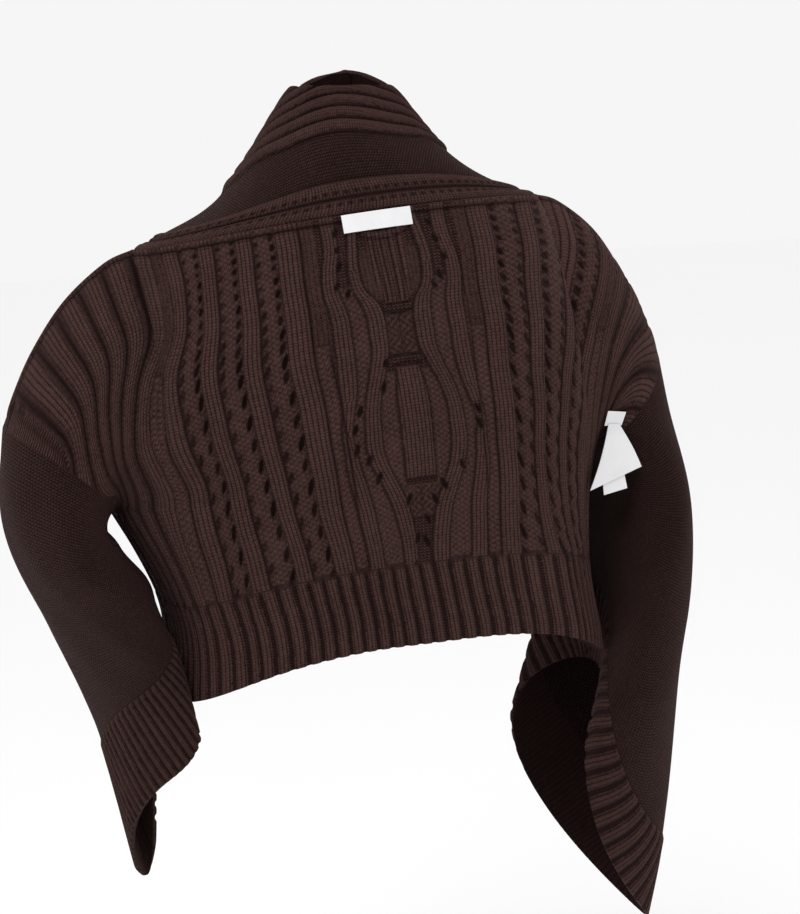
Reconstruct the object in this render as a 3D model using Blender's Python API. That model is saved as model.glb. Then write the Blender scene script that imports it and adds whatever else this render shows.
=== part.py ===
"""Knitted shrug with a cable back, wide sleeves and a tall shawl collar, in the hollow form it is worn in.

Metres. X is the wearer's right, Y the wearer's front and Z up. The origin is the middle of the neck,
level with the back neck seam. Each knitted piece is a sheet of points, the plain inside of its wall,
and a second sheet moved out from it by the wall and by the ribs and cables that stand out of it.
"""

import math

import bmesh
import bpy
import numpy as np

# Knitted wall
WALL = 0.0020
RIB_HEIGHT = 0.0016
STRAND_HEIGHT = 0.0022
LACE_HEIGHT = 0.0011
ROLL_HEIGHT = 0.0034
BAND_HEIGHT = 0.0022
SEAM_GAP = 0.0003

# Columns of the back from the cable panel outwards, as knitted flat: kind and width
CABLE_HALF = 0.050
INNER_COLUMNS = [
    ("purl", 0.0150),
    ("rib", 0.0130),
    ("lace", 0.0190),
    ("rib", 0.0135),
    ("lace", 0.0190),
    ("rib", 0.0135),
    ("lace", 0.0190),
    ("rib", 0.0130),
    ("purl", 0.0110),
]
WIDE_RIBS = 6
WIDE_COLUMNS = [("rib", 0.0115), ("purl", 0.0070)] * WIDE_RIBS
EDGE = 0.0045
COLUMNS = INNER_COLUMNS + WIDE_COLUMNS
FLAT_HALF = CABLE_HALF + sum(width for kind, width in COLUMNS) + EDGE
LACE_SWING = 0.0035

# Two cable strands each side of the middle: depth below the neck seam, inner and outer strand
CABLE = [
    (0.000, 0.022, 0.040),
    (0.037, 0.030, 0.042),
    (0.060, 0.017, 0.040),
    (0.070, 0.010, 0.039),
    (0.088, 0.014, 0.038),
    (0.106, 0.010, 0.038),
    (0.120, 0.020, 0.040),
    (0.154, 0.029, 0.045),
    (0.185, 0.028, 0.042),
    (0.210, 0.020, 0.033),
    (0.230, 0.009, 0.022),
    (0.256, 0.006, 0.016),
    (0.275, 0.016, 0.033),
]

# Body. Level 0 is the hem and level 1 the underarm: half width, depth of the back, height at the
# middle of the back, height at the side, then the front's depth, and the front seam's X and Z
LEVEL_KNOTS = [0.0, 0.38, 0.70, 1.0]
LEVELS = [
    (0.178, 0.120, -0.331, -0.382, 0.118, 0.105, -0.370),
    (0.172, 0.123, -0.280, -0.318, 0.117, 0.114, -0.308),
    (0.181, 0.125, -0.236, -0.265, 0.114, 0.122, -0.253),
    (0.196, 0.125, -0.200, -0.216, 0.110, 0.128, -0.203),
]
SQUARENESS = 2.6
HEM_DIP = 3.0
BACK_HOLLOW = 0.012
FRONT_FULLNESS = (0.022, 0.010)
RIB_TOP = 0.48

# Neck seam: half width, depth behind the origin, drop at the shoulder and height, then the shoulder
NECK_HALF = 0.165
NECK_DEPTH = 0.080
NECK_DROP = 0.014
NECK_LOW = 0.007
SHOULDER = [
    (0.165, -0.021),
    (0.188, -0.029),
    (0.219, -0.054),
    (0.243, -0.088),
    (0.258, -0.119),
    (0.269, -0.149),
]

# Sleeves, outward side positive: the outer, back, inner and front point of each ring
ARMHOLE = [(0.269, 0.0, -0.149), (0.224, -0.070, -0.187), (0.196, 0.0, -0.216), (0.224, 0.070, -0.187)]
ARMHOLE_OUTWARD = [(0.90, 0.0, 0.43), (0.15, -1.0, 0.0), (0.3, 0.0, -0.95), (0.15, 1.0, 0.0)]
FIRST_RING = [(0.2715, 0.0, -0.171), (0.230, -0.075, -0.202), (0.207, 0.0, -0.223), (0.230, 0.075, -0.202)]
UPPER_RING = [(0.276, 0.0, -0.243), (0.244, -0.084, -0.250), (0.209, 0.0, -0.252), (0.244, 0.084, -0.250)]
SLEEVES = {
    "right": [
        ARMHOLE,
        FIRST_RING,
        UPPER_RING,
        [(0.268, 0.005, -0.352), (0.218, -0.086, -0.335), (0.201, 0.0, -0.292), (0.222, 0.088, -0.325)],
        [(0.256, 0.010, -0.562), (0.177, -0.070, -0.453), (0.199, 0.0, -0.335), (0.182, 0.086, -0.425)],
        [(0.242, 0.010, -0.640), (0.160, -0.055, -0.503), (0.196, 0.0, -0.402), (0.157, 0.086, -0.492)],
    ],
    "left": [
        ARMHOLE,
        FIRST_RING,
        [(0.276, 0.0, -0.243), (0.238, -0.080, -0.250), (0.202, 0.0, -0.250), (0.244, 0.084, -0.250)],
        [(0.262, 0.0, -0.312), (0.217, -0.070, -0.292), (0.193, 0.0, -0.280), (0.238, 0.085, -0.325)],
        [(0.225, 0.0, -0.396), (0.195, -0.063, -0.338), (0.195, 0.0, -0.332), (0.212, 0.080, -0.430)],
        [(0.210, 0.0, -0.482), (0.177, -0.060, -0.410), (0.190, 0.0, -0.414), (0.184, 0.075, -0.555)],
    ],
}
RING_KNOTS = [0.0, 0.05, 0.25, 0.5, 0.82, 1.0]
CUFF_START = 0.82
CUFF_RIBS_PER_STEP = 2

# Collar stations, right half: where along the seam (0 back, 2 shoulder, 4 underarm level, 6 hem),
# the seam's outward direction, then the middle and the rim of the standing cloth
COLLAR_KNOTS = [0.0, 0.7, 1.3, 2.0, 2.5, 2.8, 3.1, 3.4, 4.0, 5.0, 6.0]
COLLAR = [
    (0.00, -0.95, 0.30, 0.000, -0.074, 0.042, 0.000, -0.048, 0.083),
    (0.25, -0.80, 0.50, 0.043, -0.064, 0.036, 0.023, -0.044, 0.084),
    (0.40, -0.50, 0.75, 0.074, -0.044, 0.026, 0.037, -0.027, 0.081),
    (0.45, 0.00, 0.90, 0.095, 0.004, 0.010, 0.052, 0.004, 0.058),
    (0.50, 0.50, 0.70, 0.088, 0.043, 0.000, 0.050, 0.030, 0.050),
    (0.48, 0.68, 0.55, 0.081, 0.065, -0.018, 0.030, 0.045, 0.083),
    (0.45, 0.80, 0.40, 0.075, 0.086, -0.040, 0.001, 0.051, 0.099),
    (0.40, 0.87, 0.28, 0.072, 0.100, -0.070, 0.001, 0.061, 0.078),
    (0.30, 0.95, 0.10, 0.070, 0.122, -0.135, 0.005, 0.108, -0.035),
    (0.30, 0.95, 0.00, 0.062, 0.130, -0.235, 0.006, 0.130, -0.150),
    (0.30, 0.95, 0.00, 0.060, 0.128, -0.335, 0.012, 0.134, -0.265),
]
BAND = 0.027
ROLL_ZONE = 0.038
ROLLS = 4

# How it hangs: the right shoulder is higher, below the arms the cloth swings to the right, and the
# standing collar is turned, levelled and leant a little
SHOULDER_TILT = 0.09
TILT_FADES_BY = 0.33
SWING = 0.028
SWING_STARTS = 0.18
SWING_ENDS = 0.36
NECK_SHIFT = 0.006
COLLAR_LEVELS = 1.2
COLLAR_LEVELS_BY = 0.09
COLLAR_TURN = 0.38
COLLAR_LEAN = 0.006
COLLAR_TURNS_BY = 0.06

# Labels, all blank. The neck label's left and right edge on the back and its height; then the hung
# ones where they hang: top left, top right, bottom left and bottom right corner, and how far they bow
LABEL = 0.0008
NECK_LABEL = (-0.028, 0.026, 0.014)
HUNG_LABELS = {
    "size_tab": (
        (0.1915, -0.0722, -0.174), (0.2074, -0.0722, -0.176),
        (0.1890, -0.0706, -0.186), (0.2040, -0.0706, -0.187), 0.0,
    ),
    "care_label": (
        (0.1920, -0.0718, -0.185), (0.2015, -0.0718, -0.186),
        (0.1720, -0.0785, -0.236), (0.2170, -0.0800, -0.220), 0.003,
    ),
    "care_slip": (
        (0.1835, -0.0777, -0.229), (0.2015, -0.0783, -0.221),
        (0.1850, -0.0768, -0.241), (0.2055, -0.0773, -0.237), 0.0,
    ),
}

# Rows
UPPER_ROWS = 12
LOWER_ROWS = 5
SLEEVE_ROWS = [0.0, 0.05, 0.13, 0.25, 0.37, 0.50, 0.61, 0.72, 0.82]
LEAN = 0.018
CUFF_ROWS = 3

# Colours, linear
YARN = (0.030, 0.018, 0.016, 1.0)
LABEL_WHITE = (0.80, 0.80, 0.80, 1.0)


def ease(x):
    x = np.clip(x, 0.0, 1.0)
    return x * x * (3.0 - 2.0 * x)


def unit(vectors):
    return vectors / np.linalg.norm(vectors, axis=-1, keepdims=True)


def flow(knots, values, at):
    """A smooth curve through the rows of a table."""
    knots, values = np.asarray(knots, float), np.asarray(values, float)
    slopes = np.gradient(values, knots, axis=0)
    at = np.clip(np.asarray(at, float), knots[0], knots[-1])
    row = np.clip(np.searchsorted(knots, at, side="right") - 1, 0, len(knots) - 2)
    step = knots[row + 1] - knots[row]
    part = (at - knots[row]) / step
    extra = (1,) * (values.ndim - 1)
    step, part = step.reshape(step.shape + extra), part.reshape(part.shape + extra)
    return (
        (1 + 2 * part) * (1 - part) ** 2 * values[row]
        + part * (1 - part) ** 2 * step * slopes[row]
        + part**2 * (3 - 2 * part) * values[row + 1]
        + part**2 * (part - 1) * step * slopes[row + 1]
    )


def at_shares(line, shares):
    """The points of a line at these shares of its length."""
    along = np.concatenate([[0.0], np.cumsum(np.linalg.norm(np.diff(line, axis=0), axis=1))])
    return np.stack([np.interp(shares * along[-1], along, line[:, k]) for k in range(3)], -1)


def length(line):
    return np.linalg.norm(np.diff(line, axis=0), axis=1).sum()


def at_columns(line, across):
    """Points of a half row at distances across the flat cloth, which bunches towards the side."""
    stretch = length(line) / FLAT_HALF
    share = np.linspace(0.0, 1.0, 400)
    taken = stretch * share + (1 - stretch) * share**4
    return at_shares(line, np.interp(across / FLAT_HALF, taken, share))


def ring(four, angle):
    """A closed curve through four points: outer at angle 0, back, inner and front."""
    outer, back, inner, front = (np.asarray(point, float) for point in four)
    middle = (outer + back + inner + front) / 4
    angle = np.asarray(angle, float)[..., None]
    return (
        middle
        + (outer - inner) / 2 * np.cos(angle)
        + (back - front) / 2 * np.sin(angle)
        + (outer + inner - back - front) / 4 * np.cos(2 * angle)
    )


# ---- body

def level(height):
    return flow(LEVEL_KNOTS, LEVELS, height)


def back_level_line(height):
    """Half a row of the back below the arms, from its middle to the side seam."""
    half, depth, middle_z, side_z = level(height)[:4]
    turn = np.linspace(0.0, math.pi / 2, 160)
    x = half * np.sin(turn) ** (2 / SQUARENESS)
    y = -depth * np.cos(turn) ** (2 / SQUARENESS)
    y[-1] = 0.0
    return np.stack([x, y, middle_z + (side_z - middle_z) * (x / half) ** HEM_DIP], -1)


def front_level_line(height):
    """A row of one front below the arms, from the collar seam to the side seam."""
    half, _, _, side_z, depth, seam_x, seam_z = level(height)
    start = math.asin((seam_x / half) ** (SQUARENESS / 2))
    turn = np.linspace(start, math.pi / 2, 80)
    x = half * np.sin(turn) ** (2 / SQUARENESS)
    y = depth * np.cos(turn) ** (2 / SQUARENESS)
    y[-1] = 0.0
    return np.stack([x, y, side_z + (seam_z - side_z) * (half - x) / (half - seam_x)], -1)


def neck_line():
    turn = np.linspace(0.0, math.pi / 2, 120)
    sine = np.sin(turn)
    return np.stack([NECK_HALF * sine, -NECK_DEPTH * np.cos(turn), -NECK_LOW - NECK_DROP * sine**2], -1)


def shoulder_line():
    outline = flow(range(len(SHOULDER)), SHOULDER, np.linspace(0, len(SHOULDER) - 1, 120))
    return np.stack([outline[:, 0], 0 * outline[:, 0], outline[:, 1]], -1)


NECK_LINE = neck_line()
TOP_LINE = np.concatenate([NECK_LINE, shoulder_line()[1:]])
UNDER_LINE = back_level_line(1.0)


def neck_column():
    """The distance across the flat back at which the neck seam meets the shoulder."""
    stretch = length(TOP_LINE) / FLAT_HALF
    share = length(NECK_LINE) / length(TOP_LINE)
    return FLAT_HALF * (stretch * share + (1 - stretch) * share**4)


NECK_COLUMN = neck_column()


def armhole_bulge(rise, side_of_arm):
    """How far an armhole's edge stands off the straight line from underarm to shoulder."""
    outer, back, inner, front = (np.asarray(point) for point in ARMHOLE)
    sine = np.sin(math.pi * rise)
    reach = (back - front) / 2 * side_of_arm
    return reach * sine - (outer + inner - back - front) / 2 * sine**2


def raised_row(under, top, edge, rise, middle_bulge, edge_bulge, power):
    """A row between the underarm row and the top row; edge is 1 at the armhole."""
    edge = edge[:, None]
    turned = (1 - math.cos(math.pi * rise)) / 2
    share = rise + (turned - rise) * edge**3
    bulge = (1 - edge**power) * np.asarray(middle_bulge) * math.sin(math.pi * rise) + edge**power * edge_bulge
    return (1 - share) * under + share * top + bulge


def back_row(height, across):
    """Half a row of the back: height 0 is the hem, 1 the underarm, 2 the neck and shoulder seam."""
    if height <= 1:
        return at_columns(back_level_line(height), across)
    under, top = at_columns(UNDER_LINE, across), at_columns(TOP_LINE, across)
    rise = height - 1
    return raised_row(
        under, top, across / FLAT_HALF, rise, (0, -BACK_HOLLOW, 0), armhole_bulge(rise, 1), 2
    )


def front_row(height, across):
    """A row of one front, for columns from NECK_COLUMN to FLAT_HALF."""
    share = (across - NECK_COLUMN) / (FLAT_HALF - NECK_COLUMN)
    under = at_shares(front_level_line(min(height, 1.0)), share)
    if height <= 1:
        return under
    rise = height - 1
    middle = (0, *FRONT_FULLNESS)
    top = at_columns(TOP_LINE, across)
    return raised_row(under, top, share, rise, middle, armhole_bulge(rise, -1), 1)


# ---- directions out of the cloth

def outward(points, around=False):
    """Unit normals of a sheet of points: rows go up or along, columns to the right from outside."""
    padded = np.concatenate([points[:, -2:-1], points, points[:, 1:2]], 1) if around else points
    down_columns = np.gradient(padded, axis=0)
    across_columns = np.gradient(padded, axis=1)
    normals = unit(np.cross(across_columns, down_columns))
    return normals[:, 1:-1] if around else normals


def shoulder_outward(line):
    tangent = np.gradient(line, axis=0)
    return unit(np.stack([-tangent[:, 2], 0 * line[:, 0], tangent[:, 0]], -1))


def top_outward(across):
    """Outward direction at the neck and shoulder seam."""
    points = at_columns(TOP_LINE, across)
    neck = collar_table(2 * np.clip(across / NECK_COLUMN, 0, 1))[:, :3]
    fine = shoulder_outward(TOP_LINE)
    nearest = np.argmin(np.linalg.norm(points[:, None] - TOP_LINE[None], axis=-1), axis=1)
    return np.where(across[:, None] <= NECK_COLUMN + 1e-6, unit(neck), fine[nearest])


def armhole_outward(angle):
    return unit(ring(ARMHOLE_OUTWARD, angle))


# ---- collar

def collar_table(station):
    return flow(COLLAR_KNOTS, COLLAR, station)


def collar_cross(base, station, shares):
    """The collar's section at one station, from its seam to its rim."""
    row = collar_table(np.array([station]))[0]
    knots = [0.0, 0.5, 1.0]
    return at_shares(flow(knots, [base, row[3:6], row[6:9]], np.linspace(0, 1, 60)), shares)


# ---- how it hangs

def hang(points):
    """Turns the evenly made garment into the one that hangs a little askew."""
    x, y, z = np.moveaxis(points, -1, 0)
    share = ease(z / COLLAR_TURNS_BY)
    turn = COLLAR_TURN * share
    x, y = x * np.cos(turn) + y * np.sin(turn), y * np.cos(turn) - x * np.sin(turn)
    tilt = np.clip(1 + z / TILT_FADES_BY, 0, 1) - COLLAR_LEVELS * ease(z / COLLAR_LEVELS_BY)
    swing = SWING * ease((-z - SWING_STARTS) / (SWING_ENDS - SWING_STARTS))
    return np.stack([x + swing - NECK_SHIFT + COLLAR_LEAN * share, y, z + SHOULDER_TILT * x * tilt], -1)


# ---- making pieces

def material(name, colour, roughness):
    made = bpy.data.materials.new(name)
    made.use_nodes = True
    shader = made.node_tree.nodes["Principled BSDF"]
    shader.inputs["Base Color"].default_value = colour
    shader.inputs["Roughness"].default_value = roughness
    return made


def draw_in(inner, outer, around, gap):
    """Draws each edge of a wall in by half a seam gap, square to the wall's end face."""
    moved = [inner.copy(), outer.copy()]
    axes = [0] if around else [0, 1]
    for axis in axes:
        for end in (0, -1):
            edge = np.take(inner, end, axis)
            beside = np.take(inner, 1 if end == 0 else -2, axis)
            tangent = unit(np.gradient(edge, axis=0))
            rising = unit(np.take(outer, end, axis) - edge)
            square = unit(np.cross(tangent, rising))
            square *= np.sign((square * (beside - edge)).sum())
            for sheet in moved:
                index = [slice(None)] * 3
                index[axis] = end
                sheet[tuple(index)] += square * gap / 2
    return moved


def cloth(name, inner, directions, heights, finish, around=False, wall=WALL, gap=SEAM_GAP):
    """A knitted wall: a grid of inner points, extruded to outer points that carry the ribs."""
    outer = inner + directions * (wall + heights)[..., None]
    if name not in HUNG_LABELS:
        inner, outer = hang(inner), hang(outer)
    inner, outer = draw_in(inner, outer, around, gap)
    rows, columns = inner.shape[:2]
    mesh = bmesh.new()
    number = mesh.verts.layers.int.new("number")
    bmesh.ops.create_grid(mesh, x_segments=columns - 1, y_segments=rows - 1, size=0.5)
    for count, vert in enumerate(mesh.verts):
        vert[number] = count
        vert.co = inner.reshape(-1, 3)[count]
    if around:
        bmesh.ops.remove_doubles(mesh, verts=mesh.verts, dist=1e-5)
    made = bmesh.ops.extrude_face_region(mesh, geom=mesh.faces[:])
    for vert in made["geom"]:
        if isinstance(vert, bmesh.types.BMVert):
            vert.co = outer.reshape(-1, 3)[vert[number]]
    bmesh.ops.recalc_face_normals(mesh, faces=mesh.faces)
    data = bpy.data.meshes.new(name)
    mesh.to_mesh(data)
    mesh.free()
    data.materials.append(finish)
    data.shade_smooth()
    data.set_sharp_from_angle(angle=math.radians(60))
    piece = bpy.data.objects.new(name, data)
    bpy.data.collections["knitted_shrug"].objects.link(piece)
    return piece


# ---- columns and rows

def half_columns():
    """The back's sample columns from the middle to the side: place, height and lace swing."""
    samples = [(0.0, RIB_HEIGHT, 0)]
    samples += [("inner_valley", 0.0, 0), ("inner", STRAND_HEIGHT, 0)]
    samples += [("outer_valley", 0.0, 0), ("outer", STRAND_HEIGHT, 0)]
    place, before = CABLE_HALF, "cable"
    for kind, width in COLUMNS:
        raised = {"rib": RIB_HEIGHT, "lace": LACE_HEIGHT}.get(kind, 0.0)
        if raised and before != "purl":
            samples.append((place, 0.0, 0))
        samples.append((place + width / 2, raised, 1 if kind == "lace" else 0))
        place, before = place + width, kind
    samples.append((FLAT_HALF, 0.0, 0))
    return samples


def cable_places(depth):
    inner, outer = flow([row[0] for row in CABLE], [row[1:] for row in CABLE], np.array([depth]))[0]
    return {
        "inner_valley": inner / 2,
        "inner": inner,
        "outer_valley": (inner + outer) / 2,
        "outer": outer,
    }


def row_columns(height, row_number):
    """Where the sample columns lie in one row, and how high each stands."""
    depth = -level(min(height, 1.0))[2] if height <= 1 else 0.2 * (2 - height)
    strands = cable_places(depth)
    ribbed = ease((RIB_TOP - height) / 0.08)
    places, heights = [], []
    for count, (place, raised, swing) in enumerate(half_columns()):
        place = strands[place] if isinstance(place, str) else place
        place += swing * LACE_SWING * (1 if row_number % 2 else -1) * (1 - ribbed)
        places.append(place)
        hem_rib = RIB_HEIGHT if count % 2 == 0 else 0.0
        heights.append(raised * (1 - ribbed) + hem_rib * ribbed)
    return np.array(places), np.array(heights)


def nearest_to_neck(places):
    """Puts the column that is nearest the end of the neck seam exactly on it."""
    places = places.copy()
    places[np.argmin(abs(places - NECK_COLUMN))] = NECK_COLUMN
    return places


HEIGHTS = np.concatenate([
    np.linspace(0, 1, LOWER_ROWS + 1)[:-1],
    1 + np.linspace(0, 1, UPPER_ROWS + 1),
])
STEADY_COLUMNS = nearest_to_neck(row_columns(2.0, 0)[0])
FRONT_COLUMNS = np.arange(len(STEADY_COLUMNS))[STEADY_COLUMNS >= NECK_COLUMN - 1e-6]


def lean(points, directions, seam, seam_directions):
    """Turns the directions near an armhole towards the seam's, and says how far each one is its own."""
    apart = np.linalg.norm(points[:, :, None] - seam, axis=-1)
    own = ease(apart.min(-1) / LEAN)
    shared = seam_directions[apart.argmin(-1)]
    return unit(directions * own[..., None] + shared * (1 - own[..., None])), own


def back(finish):
    rows, raised = [], []
    for number, height in enumerate(HEIGHTS):
        places, heights = row_columns(height, number)
        places[FRONT_COLUMNS] = STEADY_COLUMNS[FRONT_COLUMNS]
        rows.append(back_row(height, places))
        raised.append(heights)
    half, raised = np.array(rows), np.array(raised)
    angle = math.pi * (2 - HEIGHTS[LOWER_ROWS:])
    mirrored = half[:, :0:-1] * (-1, 1, 1)
    whole = np.concatenate([mirrored, half], 1)
    directions = outward(whole)[:, len(STEADY_COLUMNS) - 1:]
    directions[-1] = top_outward(STEADY_COLUMNS)
    directions[:LOWER_ROWS, -1] = (1.0, 0.0, 0.0)
    directions, own = lean(half, directions, half[LOWER_ROWS:, -1], armhole_outward(angle))
    raised *= own
    raised[-1] *= 0.4
    raised[:, -1] = 0
    directions = np.concatenate([directions[:, :0:-1] * (-1, 1, 1), directions], 1)
    raised = np.concatenate([raised[:, :0:-1], raised], 1)
    return cloth("back", whole, directions, raised, finish)


def front(side, finish):
    """One front, with its columns running from the side seam to the collar on the right side."""
    columns = STEADY_COLUMNS[FRONT_COLUMNS]
    points, raised = [], []
    for number, height in enumerate(HEIGHTS):
        points.append(front_row(height, columns))
        raised.append(row_columns(height, number)[1][FRONT_COLUMNS])
    points, raised = np.array(points), np.array(raised)
    angle = -math.pi * (2 - HEIGHTS[LOWER_ROWS:])
    directions = -outward(points)
    directions[-1] = top_outward(columns)
    directions[:, 0] = unit(collar_table(2 + 2 * (2 - HEIGHTS))[:, :3])
    directions[:LOWER_ROWS, -1] = (1.0, 0.0, 0.0)
    directions, own = lean(points, directions, points[LOWER_ROWS:, -1], armhole_outward(angle))
    raised *= own
    raised[-1] *= 0.4
    raised[:, [0, -1]] = 0
    sign = 1 if side == "right" else -1
    return cloth("front_" + side, points * (sign, 1, 1), directions * (sign, 1, 1), raised, finish)


def sleeve_points(side, along, angle):
    rings = flow(RING_KNOTS, SLEEVES[side], along)
    return np.array([ring(four, angle) for four in rings])


def sleeve(side, finish):
    """The sleeve, and the cuff that carries on from its slanted end."""
    sign = 1 if side == "right" else -1
    back_half = math.pi * (2 - HEIGHTS[LOWER_ROWS:])[::-1]
    angle = np.concatenate([back_half, 2 * math.pi - back_half[-2::-1]])
    along = np.array(SLEEVE_ROWS)
    points = sleeve_points(side, along, angle)
    everything = np.concatenate([along, [CUFF_START + 0.02]])
    directions = outward(sleeve_points(side, everything, angle), around=True)[:-1]
    middle = points.mean(axis=1, keepdims=True)
    if ((points - middle) * directions).sum() < 0:
        directions = -directions
    directions[0] = armhole_outward(angle)
    turn = np.array((sign, 1, 1))
    flat = np.zeros(points.shape[:2])
    cloth("sleeve_" + side, points * turn, directions * turn, flat, finish, True, gap=2 * SEAM_GAP)

    steps = 2 * CUFF_RIBS_PER_STEP
    fine = np.interp(np.arange((len(angle) - 1) * steps + 1) / steps, np.arange(len(angle)), angle)
    along = np.linspace(CUFF_START, 1.0, CUFF_ROWS + 1)
    cuff = sleeve_points(side, along, fine)
    for k in range(3):
        cuff[0, :, k] = np.interp(fine, angle, points[-1][:, k])
    cuff_directions = outward(sleeve_points(side, along, fine), around=True)
    if ((cuff - cuff.mean(axis=1, keepdims=True)) * cuff_directions).sum() < 0:
        cuff_directions = -cuff_directions
    for k in range(3):
        cuff_directions[0, :, k] = np.interp(fine, angle, directions[-1][:, k])
    raised = np.tile(RIB_HEIGHT * (np.arange(len(fine)) % 2), (CUFF_ROWS + 1, 1))
    raised[0] = 0
    cloth("cuff_" + side, cuff * turn, cuff_directions * turn, raised, finish, True)


def collar(finish):
    """The collar, from the left front hem over the back neck to the right front hem."""
    neck = STEADY_COLUMNS[STEADY_COLUMNS <= NECK_COLUMN + 1e-6][::2]
    if neck[-1] != NECK_COLUMN:
        neck = np.append(neck, NECK_COLUMN)
    bases = [(2 * place / NECK_COLUMN, at_columns(TOP_LINE, np.array([place]))[0]) for place in neck]
    for height in HEIGHTS[::-1][1:]:
        bases.append((2 + 2 * (2 - height), front_row(height, np.array([NECK_COLUMN]))[0]))
    sections, raised = [], []
    for station, base in bases:
        whole = length(collar_cross(base, station, np.linspace(0, 1, 40)))
        band = np.array([0.0, 0.25, 0.5, 0.75, 1.0]) * BAND
        plain = np.linspace(BAND, whole - ROLL_ZONE, 4)[1:-1]
        rolls = whole - ROLL_ZONE * (1 - np.arange(2 * ROLLS) / (2 * ROLLS - 1))
        places = np.concatenate([band, plain, rolls])
        raised.append([0, BAND_HEIGHT, 0, BAND_HEIGHT, 0, 0, 0] + [0, ROLL_HEIGHT] * ROLLS)
        sections.append(collar_cross(base, station, places / whole))
    half, raised = np.array(sections).swapaxes(0, 1), np.array(raised, float).T
    whole = np.concatenate([half[:, :0:-1] * (-1, 1, 1), half], 1)
    directions = outward(whole)[:, half.shape[1] - 1:]
    directions[0] = unit(collar_table(np.array([station for station, _ in bases]))[:, :3])
    raised[0] = 0
    directions = np.concatenate([directions[:, :0:-1] * (-1, 1, 1), directions], 1)
    raised = np.concatenate([raised[:, :0:-1], raised], 1)
    cloth("collar", whole, directions, raised, finish)


def neck_label(finish):
    left, right, tall = NECK_LABEL
    rows = []
    for depth in np.linspace(tall, 0.001, 4):
        across = np.linspace(left, right, 9)
        row = back_row(2 - depth / length_below_neck(), abs(across))
        rows.append(row * np.stack([np.sign(across), 1 + 0 * across, 1 + 0 * across], -1))
    points = np.array(rows)
    directions = outward(points)
    rest = WALL + STRAND_HEIGHT + SEAM_GAP
    flat = np.zeros(points.shape[:2])
    cloth("neck_label", points + directions * rest, directions, flat, finish, wall=LABEL)


def length_below_neck():
    """The length of the middle of the back from the underarm row to the neck seam."""
    return abs(UNDER_LINE[0, 2] + NECK_LOW)


def hung_label(name, finish):
    top_left, top_right, bottom_left, bottom_right, bow = HUNG_LABELS[name]
    down, across = np.meshgrid(np.linspace(1, 0, 5), np.linspace(0, 1, 4), indexing="ij")
    down, across = down[..., None], across[..., None]
    top = (1 - across) * np.array(top_left) + across * np.array(top_right)
    bottom = (1 - across) * np.array(bottom_left) + across * np.array(bottom_right)
    points = (1 - down) * top + down * bottom
    points[..., 1] -= bow * np.sin(math.pi * down[..., 0])
    cloth(name, points, outward(points), np.zeros(points.shape[:2]), finish, wall=LABEL)


def start():
    for thing in list(bpy.data.objects):
        bpy.data.objects.remove(thing)
    collection = bpy.data.collections.new("knitted_shrug")
    bpy.context.scene.collection.children.link(collection)


def main():
    start()
    for side in ("right", "left"):
        sleeve(side, material("sleeve_yarn_" + side, YARN, 0.9))
        front(side, material("front_yarn_" + side, YARN, 0.9))
    back(material("back_yarn", YARN, 0.9))
    collar(material("collar_yarn", YARN, 0.9))
    neck_label(material("neck_label_tape", LABEL_WHITE, 0.7))
    for name in HUNG_LABELS:
        hung_label(name, material(name + "_tape", LABEL_WHITE, 0.7))


main()
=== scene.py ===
"""Knitted shrug: the finished walls, stitches and labels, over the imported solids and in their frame.

Metres. X is the wearer's right, Y the wearer's front and Z up. Each knitted piece is a fine sheet of
inner points and a relief of ribs, cables, lace and rolls that stands out of it. Its UV map counts
stitches: wales across and courses up.
"""

import math

import bpy
import numpy as np
from mathutils import Matrix, Vector


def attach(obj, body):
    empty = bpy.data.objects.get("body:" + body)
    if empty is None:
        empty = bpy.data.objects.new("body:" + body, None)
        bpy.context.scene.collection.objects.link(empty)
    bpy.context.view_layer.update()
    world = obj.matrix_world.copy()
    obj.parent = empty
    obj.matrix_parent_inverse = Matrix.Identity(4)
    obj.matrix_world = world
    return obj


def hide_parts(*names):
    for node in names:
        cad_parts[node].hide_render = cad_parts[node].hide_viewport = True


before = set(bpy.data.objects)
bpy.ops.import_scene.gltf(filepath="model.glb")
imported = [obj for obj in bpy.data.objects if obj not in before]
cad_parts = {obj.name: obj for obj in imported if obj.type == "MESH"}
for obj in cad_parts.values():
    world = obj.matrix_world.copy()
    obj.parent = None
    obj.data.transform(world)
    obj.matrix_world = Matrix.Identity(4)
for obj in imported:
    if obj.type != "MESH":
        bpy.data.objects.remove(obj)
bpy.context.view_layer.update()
bpy.ops.object.select_all(action="DESELECT")

# Knitted wall
WALL = 0.0020
RIB_HEIGHT = 0.0016
STRAND_HEIGHT = 0.0022
LACE_HEIGHT = 0.0011
ROLL_HEIGHT = 0.0034
BAND_HEIGHT = 0.0022
SEAM_GAP = 0.0003
WALE = 0.0029
COURSE = 0.0022
# Shade painted over purl cloth, and the least shade painted on the inner sheets
PURL_SHADE = 0.30
INSIDE_PAINTED_SHADE = 0.70

# Columns of the back from the cable panel outwards, as knitted flat: kind and width
CABLE_HALF = 0.050
LACE_WIDTH = 0.0190
INNER_COLUMNS = [
    ("purl", 0.0110),
    ("rib", 0.0170),
    ("lace", LACE_WIDTH),
    ("rib", 0.0135),
    ("lace", LACE_WIDTH),
    ("rib", 0.0135),
    ("lace", LACE_WIDTH),
    ("rib", 0.0130),
    ("purl", 0.0110),
]
COLUMNS = INNER_COLUMNS + [("rib", 0.0115), ("purl", 0.0070)] * 6
EDGE = 0.0045
FLAT_HALF = CABLE_HALF + sum(width for kind, width in COLUMNS) + EDGE

SMOOTH_TO = 0.075
OUTER_RIBS_FROM = 0.18
HEM_RIB_TOP = 0.262
HEM_RIB = 0.0120

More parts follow.
